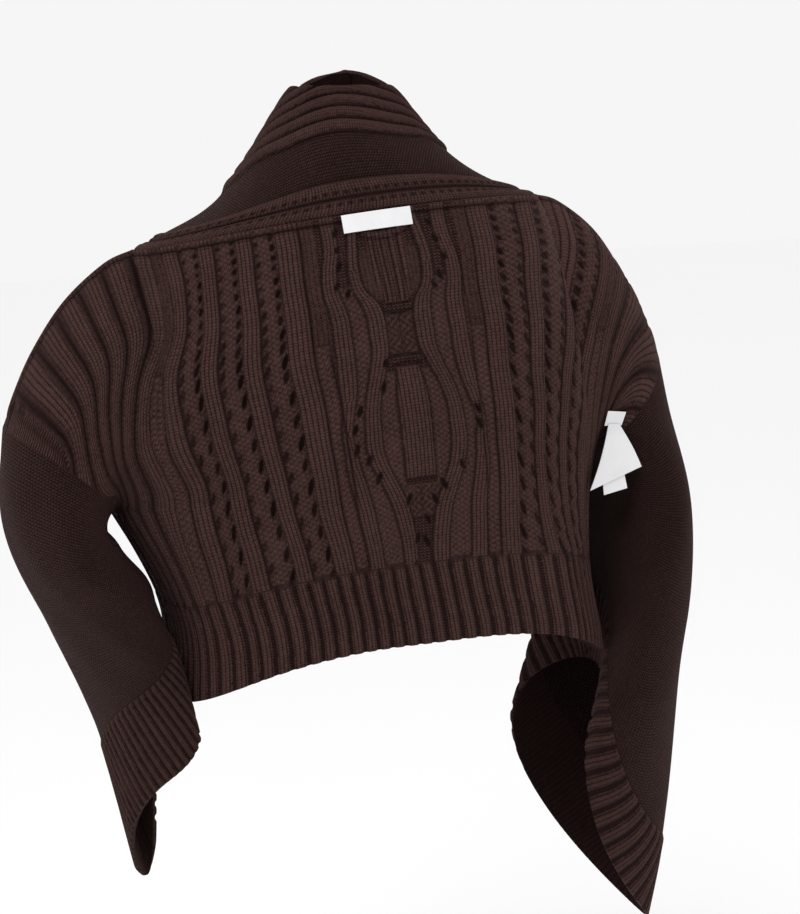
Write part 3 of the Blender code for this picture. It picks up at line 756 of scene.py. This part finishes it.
def cloth(name, node, inner, directions, made, stitches, finish, flat,
          around=False, thick=WALL, hung=True):
    """A finished piece of knitting or tape that stands for its solid."""
    outer = inner + directions * (thick + made.height)[..., None]
    if hung:
        inner, outer = hang(inner), hang(outer)
    # the painted shade goes onto the mesh beside purl and slant
    shades = {"purl": made.purl, "slant": made.slant, "painted_shade": made.painted_shade}
    mesh = wall(name, inner, outer, stitches, shades, around)
    mesh.materials.append(finish)
    piece = bpy.data.objects.new(name, mesh)
    bpy.context.scene.collection.objects.link(piece)
    piece.select_set(True)
    bpy.context.view_layer.objects.active = piece
    bpy.ops.object.shade_smooth_by_angle(angle=math.radians(SHARP_EDGE))
    piece.select_set(False)
    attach(piece, "root")
    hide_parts(node)
    area = min(sheet_area(inner), flat[0] * flat[1])
    max(area, 0.31 * flat[0] * flat[1])
    return piece


def plateau(x, start, end, soft):
    """1 between start and end, with soft ends inside them."""
    return ease((x - start) / soft) * ease((end - x) / soft)


def hump(x, middle, half):
    """A rounded ridge."""
    return np.sqrt(np.clip(1 - ((x - middle) / half) ** 2, 0, 1))


def soft_line(x, place, width):
    """1 on a line, fading out on both sides."""
    return np.exp(-(((x - place) / width) ** 2))


# ---- relief of the body

def column_starts():
    place, rows = CABLE_HALF, []
    for kind, width in COLUMNS:
        rows.append((kind, place, width))
        place += width
    return rows


def knitted_places(across, depth):
    """Where the points of the worn back lie on the flat, evenly knitted back: 0 is the middle."""
    flat = np.concatenate([-np.array(PLACES)[::-1], [0], PLACES])
    rise = np.clip(1 - depth / NECK_TO_UNDERARM, 0, 1)
    hung = depth + NECK_TO_UNDERARM * (rise - rise_share(rise, abs(across) / FLAT_HALF))
    rows = flow([row[0] for row in RUN], [row[1:] for row in RUN], hung)
    middle, left, right = np.split(rows, [1, 1 + len(PLACES)], axis=-1)
    worn = np.moveaxis(np.concatenate([-left[..., ::-1], middle, right], -1), -1, 0)
    placed = flat[0] + np.minimum(across - worn[0], 0) + np.maximum(across - worn[-1], 0)
    for start, end, width in zip(worn[:-1], worn[1:], np.diff(flat)):
        placed = placed + width * np.clip((across - start) / (end - start), 0, 1)
    return placed


def wale_numbers(across):
    """Wales counted from the middle, so that each rib and lace column holds whole ones."""
    places, counts = [0.0, CABLE_HALF], [0, 17]
    for kind, start, width in column_starts():
        places.append(start + width)
        counts.append(counts[-1] + round(width / (WALE + 0.0003)))
    return np.interp(across, places + [FLAT_HALF], counts + [counts[-1] + 1])


class Relief:
    """Height, purl, slant, painted shade and wale number of knitted cloth, built up feature by feature."""

    def __init__(self, across, depth):
        self.signed, self.across, self.depth = across, abs(across), depth
        self.height, self.painted_shade = np.zeros_like(across), np.zeros_like(across)
        self.purl, self.slant = np.ones_like(across), np.zeros_like(across)
        self.wale = wale_numbers(self.across)

    def raise_to(self, height, share):
        self.height = np.maximum(self.height, height * share)

    # Paints shade into the colour; the most shade asked for wins
    def shade(self, amount, share):
        self.painted_shade = np.maximum(self.painted_shade, amount * share)

    def knit(self, inside):
        self.purl = np.where(inside, 0.0, self.purl)
        self.slant = np.where(inside, 0.0, self.slant)

    def smooth(self, share):
        """Cloth as high as the ribs and with hardly any pattern."""
        self.raise_to(RIB_HEIGHT * 0.9, share)
        self.purl = np.where(share > 0.5, 0.45, self.purl)
        self.slant = np.where(share > 0.5, 0.0, self.slant)

    def hatch(self, inside):
        """Slanted stitches."""
        self.slant = np.where(inside, 1.0, self.slant)

    def groove(self, place, width=0.0010, painted_shade=0.75, deep=0.0006, present=1.0):
        """A groove between two columns, with shade painted along it."""
        line = soft_line(self.across, place, width) * present
        self.height = self.height - deep * line
        self.shade(painted_shade, line)

    def strand(self, middle, half, height):
        """A cable strand that wanders over the cloth, in whole wales."""
        off = self.across - middle
        inside = abs(off) < half
        self.raise_to(height, hump(off, 0.0, half) ** 0.35)
        self.knit(inside)
        wales = np.round(2 * half / WALE)
        self.wale = np.where(inside, 40 + wales / 2 + off * wales / (2 * half), self.wale)
        # painted shade in the grooves along both sides of the strand
        self.groove(middle - half - 0.0004, painted_shade=0.6)
        self.groove(middle + half + 0.0004, painted_shade=0.6)

    def pit(self, off, down, tall, painted_shade=1.0):
        """An eyelet: a slanted hollow in the wall with shade painted into it, and a thread over its top where
        less shade is painted.
        """
        far = np.hypot((off - 0.34 * down) / 0.0019, down / tall)
        hole = ease((1.6 - far) / 1.2)
        self.height = self.height - 0.0021 * hole
        self.painted_shade = np.maximum(self.painted_shade * (1 - hole), painted_shade * ease(1.4 * hole))
        thread = soft_line(far, 1.55, 0.35)
        self.height = self.height + 0.0006 * thread
        self.painted_shade = self.painted_shade * (1 - 0.6 * thread)

    def lace(self, start):
        """Two columns of eyelets, the outer one smaller and painted less dark, with a raised cord that winds
        between them.
        """
        across, depth = self.across, self.depth
        number = np.interp(depth, EYELET_DEPTHS, EYELET_NUMBERS) + start * 40
        pitch = 0.0072 + 0.0095 * ease((depth - 0.02) / 0.10)
        self.hatch((across > start) & (across < start + LACE_WIDTH))
        # Painted shade over the whole column, taken off again on the raised cord
        self.shade(0.40, plateau(across, start + 0.0002, start + 0.0188, 0.0010))
        middle = start + 0.0096 + 0.0020 * np.cos(TURN * number)
        cord = hump(across, middle, 0.0062)
        self.raise_to(LACE_HEIGHT * 1.4, cord)
        self.painted_shade = self.painted_shade * (1 - cord)
        for phase, place, size, painted_shade in ((0.0, 0.0030, 0.36, 1.1), (0.5, 0.0164, 0.30, 0.85)):
            near = np.round(number + phase) - phase
            chance = np.sin(near * 91.7 + start * 3170) * 437.5 % 1
            down = depth - np.interp(near - start * 40, EYELET_NUMBERS, EYELET_DEPTHS)
            off = across - start - place - 0.0012 * (chance - 0.5)
            self.pit(off, down, (size - 0.08 * chance) * pitch, painted_shade - 0.25 * chance)


def cable_panel(made):
    """The ovals and the long diamond in the middle of the back."""
    across, depth = made.across, made.depth
    table = np.array(STRANDS)
    inner, half, outer, outer_half = np.moveaxis(flow(table[:, 0], table[:, 1:], depth), -1, 0)
    made.hatch((across > inner) & (across < CABLE_HALF) & (depth > 0.050))
    # the smooth fields of the top oval, with the fine ribs between them and shade painted between those ribs
    oval = plateau(depth, 0.024, 0.066, 0.006) * ease((inner - 0.004 - across) / 0.002)
    made.raise_to(0.0006, oval)
    made.purl = np.where(oval > 0.5, 0.45, made.purl)
    made.slant = np.where(oval > 0.5, 0.0, made.slant)
    width = 0.0136 - 0.0034 * ease((depth - 0.035) / 0.035)
    fine = plateau(depth, 0.012, 0.068, 0.004) * ease((width - across) / 0.0008)
    lines = 0.5 + 0.5 * np.cos(TURN * across / (0.40 * width))
    made.raise_to(RIB_HEIGHT, fine * (0.2 + 0.8 * lines))
    made.shade(0.6, fine * (1 - lines) ** 1.5)
    made.knit(fine > 0.4)
    # the plain rib that fills the diamond
    plain_width = 0.0085 + 0.0030 * ease((depth - 0.112) / 0.025)
    plain = plateau(depth, 0.112, 0.1955, 0.002) * ease((plain_width - across) / 0.0014)
    made.raise_to(RIB_HEIGHT * 0.8, plain)
    made.knit(plain > 0.4)
    made.groove(plain_width + 0.0004, painted_shade=0.6, present=plateau(depth, 0.112, 0.1955, 0.002))
    made.hatch((across > plain_width) & (across < inner - half) & (depth > 0.115) & (depth < 0.200))
    # shade painted along the purl row below the diamond
    purl_line = soft_line(depth, 0.1965, 0.0010) * ease((0.013 - across) / 0.002)
    made.shade(0.85, purl_line)
    # seed stitch in the small oval and where the diamond closes, with shade painted between its bumps
    seeds = plateau(depth, 0.0725, 0.1045, 0.002) * ease((inner - half - across) / 0.001)
    seeds = np.maximum(seeds, plateau(depth, 0.199, 0.226, 0.003) * ease((inner - half - across) / 0.001))
    grain = np.cos(TURN * across / 0.0050) * np.cos(TURN * depth / 0.0058)
    made.hatch(seeds > 0.3)
    made.height = made.height + 0.0005 * seeds * grain
    made.shade(0.55, seeds * ease(0.4 - grain))
    # the ropes that cross above and below the small oval, with shadow painted along their edges and less
    # shade on their tops
    for place, wide, bow in ((0.0155, 0.019, 0.0050), (0.0700, 0.0125, 0.0030), (0.1080, 0.0135, -0.0030)):
        rope = depth - place - bow * (0.4 - (across / wide) ** 2)
        reach = ease((wide - across) / 0.003)
        made.raise_to(STRAND_HEIGHT * 0.85, hump(rope, 0.0, 0.0025) * reach)
        made.shade(0.9, soft_line(abs(rope), 0.0031, 0.0009) * reach)
        made.painted_shade = made.painted_shade * (1 - 0.7 * hump(rope, 0.0, 0.0022) * reach)
    made.strand(outer, outer_half, RIB_HEIGHT * 0.95)
    made.strand(inner, half, RIB_HEIGHT * 1.1)
    # the panel's eyelets, with shade painted into them
    for number, (across_at, depth_at) in enumerate(EYELETS):
        tall = 0.0030 + 0.0012 * ease((depth_at - 0.05) / 0.10) + 0.0005 * math.sin(number * 2.4)
        off = made.signed * math.copysign(1, across_at) - abs(across_at)
        made.pit(off, depth - depth_at, tall, 0.95)


def body_relief(across, depth):
    """The relief of the flat body at places across and depths below the neck seam."""
    made = Relief(across, depth)
    across = made.across
    top = 1 - ease((depth - SMOOTH_TO) / 0.030)
    for kind, start, width in column_starts():
        if kind == "rib":
            made.raise_to(RIB_HEIGHT, plateau(across, start, start + width, 0.0026))
            made.knit((across > start) & (across < start + width))
        elif kind == "purl":
            made.hatch((across > start) & (across < start + width))
            made.smooth(plateau(across, start - 0.001, start + width, 0.001) * top)
    # lace columns, then shade painted in the grooves between the other columns
    for kind, start, width in column_starts():
        if kind == "lace":
            made.lace(start)
        else:
            outer = start > OUTER_RIBS_FROM
            if outer and kind == "purl":
                made.groove(start + width / 2, 0.0018, 0.97)
            elif not outer:
                made.groove(start, painted_shade=0.9, present=1 - top if kind == "purl" else 1.0)
    cable_panel(made)
    ribbed = ease((depth - HEM_RIB_TOP + 0.004) / 0.006)
    turn = np.cos(TURN * across / HEM_RIB)
    hem = RIB_HEIGHT * 1.15 * ease(0.85 + 0.9 * turn)
    made.height = made.height * (1 - ribbed) + hem * ribbed
    # shade painted in the grooves of the hem rib
    made.painted_shade = made.painted_shade * (1 - ribbed) + 0.80 * ease(-0.80 - 1.6 * turn) * ribbed
    made.purl = made.purl * (1 - ribbed) + (turn < -0.55) * ribbed
    made.slant = made.slant * (1 - ribbed)
    made.wale = np.where(ribbed > 0.5, 4 * across / HEM_RIB + 2, made.wale)
    # no painted shade right at the neck seam, then the seam ridge with a shadow painted under it
    made.painted_shade = made.painted_shade * ease(depth / 0.009)
    made.raise_to(0.0021, hump(depth, 0.0014, 0.0022))
    made.shade(0.97, soft_line(depth, 0.0050, 0.0013))
    return made


def stitch_map(wales, up):
    """UV coordinates: the wale number, and the course number from metres up."""
    return np.stack([wales, up / COURSE], -1)


def body_heights():
    return np.concatenate([np.linspace(0, 1, BACK_LOWER + 1)[:-1], 1 + np.linspace(0, 1, BACK_UPPER + 1)])


def back(finish):
    heights = body_heights()
    across = np.concatenate([
        np.linspace(0, FINE_HALF, BACK_FINE + 1)[:-1], np.linspace(FINE_HALF, FLAT_HALF, BACK_COARSE + 1)
    ])
    depth = depth_below_neck(heights)
    half = np.array([back_row(height, across) for height in heights])
    whole = mirrored(half, (-1, 1, 1))
    directions = outward(whole)[:, len(across) - 1:]
    directions = square_at_top(directions, across, depth)
    directions = square_at_side(directions, across, heights)
    angle = math.pi * (2 - heights[BACK_LOWER:])
    directions, own = lean(half, directions, half[BACK_LOWER:, -1], armhole_outward(angle))
    directions = mirrored(directions, (-1, 1, 1))
    own = mirrored(own)
    wide, deep = np.broadcast_arrays(np.concatenate([-across[:0:-1], across]), depth[:, None])
    placed = wander(knitted_places(wide, deep), deep)
    made = body_relief(placed, deep)
    made.height = made.height * own + unevenness(wide, deep) * ease(deep / 0.02) * own
    made.height[:, [0, -1]] = 0
    made.slant = made.slant * np.sign(placed)
    wales = made.wale * np.sign(placed)
    cloth("knitted_back", "back", whole, directions, made, stitch_map(wales, -deep), finish,
          (2 * FLAT_HALF, BACK_LENGTH))


def wander(across, depth):
    """Columns of real knitting waver a little."""
    wave = np.sin(depth / 0.021 + across / 0.040) + 0.6 * np.sin(depth / 0.009 + 1.7 - across / 0.090)
    return across + 0.0006 * wave * ease(abs(across) / 0.03)


def unevenness(across, depth):
    """Slow swells of the cloth."""
    slow = np.sin(across / 0.026 + 1.9 * np.sin(depth / 0.060)) * np.sin(depth / 0.034 + across / 0.110)
    quick = np.sin(across / 0.0125 - depth / 0.031) * np.sin(depth / 0.017 + 0.8)
    return 0.0007 * slow + 0.0003 * quick


def front(side, finish):
    """One front, with its columns running from the collar to the side seam."""
    heights = body_heights()
    across = np.linspace(NECK_COLUMN, FLAT_HALF, FRONT_COLUMNS + 1)
    depth = depth_below_neck(heights)
    points = np.array([front_row(height, across) for height in heights])
    directions = -outward(points)
    directions = square_at_top(directions, across, depth)
    seam = unit(collar_table(2 + 2 * (2 - heights))[:, :3])[:, None]
    near_seam = ease(1 - (across - NECK_COLUMN) / 0.010)[None, :, None]
    directions = blended(directions, seam, near_seam)
    directions = square_at_side(directions, across, heights)
    angle = -math.pi * (2 - heights[BACK_LOWER:])
    directions, own = lean(points, directions, points[BACK_LOWER:, -1], armhole_outward(angle))
    wide, deep = np.broadcast_arrays(across, depth[:, None])
    made = body_relief(wander(wide, deep), deep)
    made.height = made.height * own
    made.height[:, [0, -1]] = 0
    turn = (1 if side == "right" else -1, 1, 1)
    cloth("knitted_front_" + side, "front_" + side, points * turn, directions * turn, made,
          stitch_map(made.wale, -deep), finish, FRONT_FLAT)


# ---- sleeves

def plain_relief(across, depth, purl):
    made = Relief(across, depth)
    made.purl = np.full(across.shape, purl)
    # shade painted over purl stitches
    made.shade(PURL_SHADE, purl)
    return made


def sleeve_points(side, along, angle):
    rings = flow(RING_KNOTS, SLEEVES[side], along)
    return np.array([ring(four, angle) for four in rings])


def tube(side, along, around):
    """Points, directions and stitch numbers of a stretch of one sleeve, on the right side."""
    angle = TURN * np.arange(around + 1) / around
    points = sleeve_points(side, along, angle)
    directions = outward(points, around=True)
    if ((points - points.mean(axis=1, keepdims=True)) * directions).sum() < 0:
        directions = -directions
    steps = np.linalg.norm(np.diff(points, axis=0), axis=-1).mean(-1)
    up = np.concatenate([[0], np.cumsum(steps)])
    girth = np.linalg.norm(np.diff(points, axis=1), axis=-1).sum(-1).mean()
    return angle, points, directions, up, girth


def sleeve(side, finish, cuff_finish):
    """The sleeve, and the cuff that carries on from its slanted end."""
    turn = np.array((1 if side == "right" else -1, 1, 1))
    along = np.linspace(0, CUFF_START, SLEEVE_ALONG + 1)
    angle, points, directions, up, girth = tube(side, along, SLEEVE_AROUND)
    near_arm = ease(1 - along / 0.05)[:, None, None]
    directions = blended(directions, armhole_outward(angle), near_arm)
    wide, deep = np.broadcast_arrays(girth * angle / TURN, up[:, None])
    made = plain_relief(wide, deep, 1.0)
    ripple = 0.0008 * np.sin(3 * angle + deep / 0.05) + 0.0005 * np.sin(7 * angle - deep / 0.03)
    made.height = made.height + ripple * (ease(deep / 0.03) * ease((up[-1] - deep) / 0.03))
    # shadow painted along the sleeve's end at the cuff seam
    made.shade(0.8, soft_line(deep, up[-1], 0.0012))
    wales = round(girth / WALE) * wide / girth
    cloth("knitted_sleeve_" + side, "sleeve_" + side, points * turn, directions * turn, made,
          stitch_map(wales, -deep), finish, (girth, up[-1] * SLEEVE_LONG_SIDE), around=True)

    end_directions = directions[-1]
    along = np.linspace(CUFF_START, 1.0, CUFF_ALONG + 1)
    angle_fine, points, directions, up, girth = tube(side, along, CUFF_RIBS * 8)
    for k in range(3):
        edge = np.interp(angle_fine, angle, end_directions[:, k])
        directions[0, :, k] = edge
    tangent, drop = np.gradient(points.mean(axis=0), angle_fine, axis=0), points[-1] - points[0]
    slide = SLIDE_LIMIT * np.tanh((drop * tangent).sum(-1) / (tangent**2).sum(-1) / SLIDE_LIMIT)
    deep = np.broadcast_to(up[:, None], points.shape[:2])
    wide = CUFF_RIBS * square_to_seam(angle_fine, slide, deep / up[-1]) / TURN
    made = plain_relief(wide, deep, 0.0)
    wave = np.cos(TURN * wide)
    made.height = RIB_HEIGHT * ease(0.75 - 0.9 * wave) * ease(deep / 0.004)
    # shade painted over the whole cuff, and deeper in its rib grooves
    made.painted_shade = 0.16 + 0.70 * ease(1.9 * wave - 0.9)
    made.purl = (wave > 0.5) * 1.0
    cloth("knitted_cuff_" + side, "cuff_" + side, points * turn, directions * turn, made,
          stitch_map(4 * wide, -deep), cuff_finish, (girth, up[-1] * CUFF_LONG_SIDE), around=True)


def square_to_seam(angle, slide, share):
    """The angle at which the rib through each point leaves the cuff's seam."""
    left_at = angle + 0 * share
    for _ in range(SETTLE_STEPS):
        miss = angle + share * np.interp(left_at, angle, slide, period=TURN) - left_at
        left_at = left_at + SETTLE_SHARE * miss
    return left_at


# ---- collar

def collar(finish):
    """The collar, from the left front hem over the back neck to the right front hem."""
    places = np.linspace(0, NECK_COLUMN, COLLAR_NECK + 1)
    stations = list(2 * places / NECK_COLUMN)
    bases = list(at_columns(TOP_LINE, places))
    for height in np.linspace(2, 0, COLLAR_FRONT + 1)[1:]:
        stations.append(2 + 2 * (2 - height))
        bases.append(front_row(height, np.array([NECK_COLUMN]))[0])
    band = np.linspace(0, BAND, 25)
    rolls = np.linspace(0, ROLL_ZONE, 41)[1:]
    plain = np.linspace(0, 1, 37)[1:]
    sections, relief, ups = [], [], []
    for station, base in zip(stations, bases):
        whole = length(collar_cross(base, station, np.linspace(0, 1, 100)))
        roll_start = whole - ROLL_ZONE
        up = np.concatenate([band, BAND + plain * (roll_start - BAND), roll_start + rolls])
        sections.append(collar_cross(base, station, up / whole))
        ups.append(up)
        relief.append(up - roll_start)
    half, relief, ups = (np.array(part).swapaxes(0, 1) for part in (sections, relief, ups))
    whole = mirrored(half, (-1, 1, 1))
    whole = lapped(whole, np.array(stations), relief / ROLL_ZONE)
    directions = outward(whole)
    near_seam = ease(1 - mirrored(ups) / 0.007)[..., None]
    seam = unit(collar_table(np.array(stations))[:, :3])
    seam = np.concatenate([seam[:0:-1] * (-1, 1, 1), seam])
    directions = blended(directions, seam, near_seam)
    step = np.linalg.norm(np.diff(np.array(bases), axis=0), axis=-1)
    along = np.concatenate([[0], np.cumsum(step)])
    past_roll = mirrored(relief)
    ups = mirrored(ups)
    along = np.broadcast_to(np.concatenate([-along[:0:-1], along]), ups.shape)
    made = collar_relief(along, ups, past_roll)
    made.height[0] = 0
    cloth("knitted_collar", "collar", whole, directions, made, stitch_map(along / WALE, ups), finish,
          COLLAR_FLAT)


def lapped(points, stations, share):
    """Lays the rim's right front corner over the left one. They still cut in a few tenths of a millimetre."""
    corner = plateau(stations, LAP_FROM, LAP_TO, LAP_EASE) * ease(share)
    corner = mirrored(corner, -1)
    moved = points.copy()
    moved[..., 0] -= LAP * corner
    moved[..., 1] += LAP_APART * corner
    return moved


def collar_relief(along, up, past_roll):
    """Two rolls with lace between them at the seam, plain purl, then the rolls of the rim."""
    made = plain_relief(along, up, 1.0)
    band = abs(np.sin(TURN * up / BAND)) ** 0.7 * (up < BAND)
    made.height = made.height + BAND_HEIGHT * band
    # no painted shade on the band's rolls; shadow painted along the band's middle and its top edge
    made.painted_shade = made.painted_shade * (up > BAND)
    made.knit((band > 0.5) & (up < BAND))
    made.shade(0.8, soft_line(up, BAND / 2, 0.0016))
    made.shade(0.8, soft_line(up, BAND, 0.0014))
    # eyelets in the band, with shade painted into them
    for line in (0.34, 0.66):
        number = along / 0.0088 + line
        off = (number - np.round(number)) * 0.0088
        far = np.hypot(off / 0.0028, (up - BAND * line) / 0.0014)
        hole = ease(1.4 - far)
        made.height = made.height - 0.0009 * hole
        made.shade(0.85, hole)
    fall = np.where(along < 0, *ROLL_FALL) * ease(abs(along) / 0.16) * ease((0.28 - abs(along)) / 0.12)
    turn = (past_roll + fall) / ROLL_ZONE * ROLLS
    roll = abs(np.sin(math.pi * turn)) * (turn > 0)
    made.height = made.height + ROLL_HEIGHT * roll**0.75
    # no painted shade on the rim's rolls, and shade painted in the grooves between them
    made.painted_shade = made.painted_shade * (turn < 0)
    made.knit((roll > 0.45) & (turn > 0))
    made.shade(0.9, np.where(turn > -0.15, ease(1 - 2.2 * abs(np.sin(math.pi * turn))), 0))
    swell = np.sin(along / 0.043 + up / 0.05) * np.sin(up / 0.022 + 0.5)
    swell = swell * ease(up / 0.03) * ease(-past_roll / 0.02)
    made.height = made.height + 0.0009 * swell
    return made


# ---- labels

def neck_label(finish):
    left, right, tall = NECK_LABEL
    across = np.linspace(left, right, 41)
    rows = []
    for depth in np.linspace(tall, 0.001, 13):
        row = back_row(2 - depth / NECK_TO_UNDERARM, abs(across))
        rows.append(row * np.stack([np.sign(across), 1 + 0 * across, 1 + 0 * across], -1))
    points = np.array(rows)
    directions = outward(points)
    rest = WALL + STRAND_HEIGHT + SEAM_GAP
    tape_piece("neck_tape", "neck_label", points + directions * rest, finish, (right - left, tall), True)


def tape_piece(name, node, points, finish, flat, hung):
    rows, columns = points.shape[:2]
    grid = np.meshgrid(np.linspace(0, flat[1], rows), np.linspace(0, flat[0], columns), indexing="ij")
    stitches = np.stack([grid[1], grid[0]], -1) / 0.0006
    cloth(name, node, points, outward(points), plain_relief(grid[1], grid[0], 0.0), stitches, finish,
          flat, thick=LABEL, hung=hung)


def hung_label(node, finish):
    top_left, top_right, bottom_left, bottom_right, bow = HUNG_LABELS[node]
    down, across = np.meshgrid(np.linspace(1, 0, 31), np.linspace(0, 1, 25), indexing="ij")
    down, across = down[..., None], across[..., None]
    top = (1 - across) * np.array(top_left) + across * np.array(top_right)
    bottom = (1 - across) * np.array(bottom_left) + across * np.array(bottom_right)
    points = (1 - down) * top + down * bottom
    points[..., 1] -= bow * np.sin(math.pi * down[..., 0])
    wide = np.linalg.norm(np.array(bottom_right) - bottom_left)
    tall = np.linalg.norm(np.array(bottom_left) - top_left)
    tape_piece("hung_" + node, node, points, finish, (wide, tall), False)


# ---- stage, light and camera

def area_light(name, place, aim, size, power, colour=(1, 1, 1)):
    data = bpy.data.lights.new(name, "AREA")
    data.shape, data.size, data.energy, data.color = "DISK", size, power, colour
    lamp = bpy.data.objects.new(name, data)
    bpy.context.scene.collection.objects.link(lamp)
    lamp.location = place
    lamp.rotation_euler = (Vector(aim) - Vector(place)).to_track_quat("-Z", "Y").to_euler()


def plain_stage():
    bpy.ops.mesh.primitive_plane_add(size=24, location=(0, 0, FLOOR))
    floor = bpy.context.object
    floor.name = "floor"
    shader = Shader("pale_floor", Roughness=0.9)
    place = shader.node("ShaderNodeTexCoord", out=3)
    mottle = shader.node("ShaderNodeTexNoise", {}, {"Vector": place, "Scale": 1.5})
    colour = shader.mixed(mottle, (0.980, 0.980, 0.980, 1), (0.990, 0.990, 0.990, 1))
    floor.data.materials.append(shader.surface_from(Base_Color=colour))
    world = bpy.context.scene.world or bpy.data.worlds.new("World")
    bpy.context.scene.world = world
    world.use_nodes = True
    world.node_tree.nodes["Background"].inputs[0].default_value = (1, 1, 1, 1)
    world.node_tree.nodes["Background"].inputs[1].default_value = 0.92


def camera():
    turn, rise, roll = (math.radians(angle) for angle in (AZIMUTH, ELEVATION, ROLL))
    back = Vector((math.sin(turn) * math.cos(rise), -math.cos(turn) * math.cos(rise), math.sin(rise)))
    right = Vector((math.cos(turn), math.sin(turn), 0))
    up = back.cross(right)
    across = right * math.cos(roll) - up * math.sin(roll)
    upward = right * math.sin(roll) + up * math.cos(roll)
    data = bpy.data.cameras.new("camera")
    data.lens, data.sensor_width, data.sensor_fit = LENS, 36.0, "HORIZONTAL"
    data.shift_x, data.shift_y = SHIFT
    seen = bpy.data.objects.new("camera", data)
    bpy.context.scene.collection.objects.link(seen)
    place = Matrix((across, upward, back)).transposed().to_4x4()
    place.translation = Vector(TARGET) + DISTANCE * back
    seen.matrix_world = place
    bpy.context.scene.camera = seen
    bpy.context.scene.view_settings.view_transform = "Standard"


camera()
plain_stage()
area_light("key", (-1.3, -1.7, 1.9), (0, 0, -0.15), 1.1, 34)
area_light("fill", (2.4, -1.6, 0.6), (0, 0, -0.2), 1.6, 6)
for side in ("right", "left"):
    sleeve(side, yarn("sleeve_yarn_" + side), yarn("cuff_yarn_" + side))
    front(side, yarn("front_yarn_" + side))
back(yarn("back_yarn"))
collar(yarn("collar_yarn"))
neck_label(tape("neck_label_tape", 0.6))
for label in HUNG_LABELS:
    hung_label(label, tape(label + "_tape", 0.45))
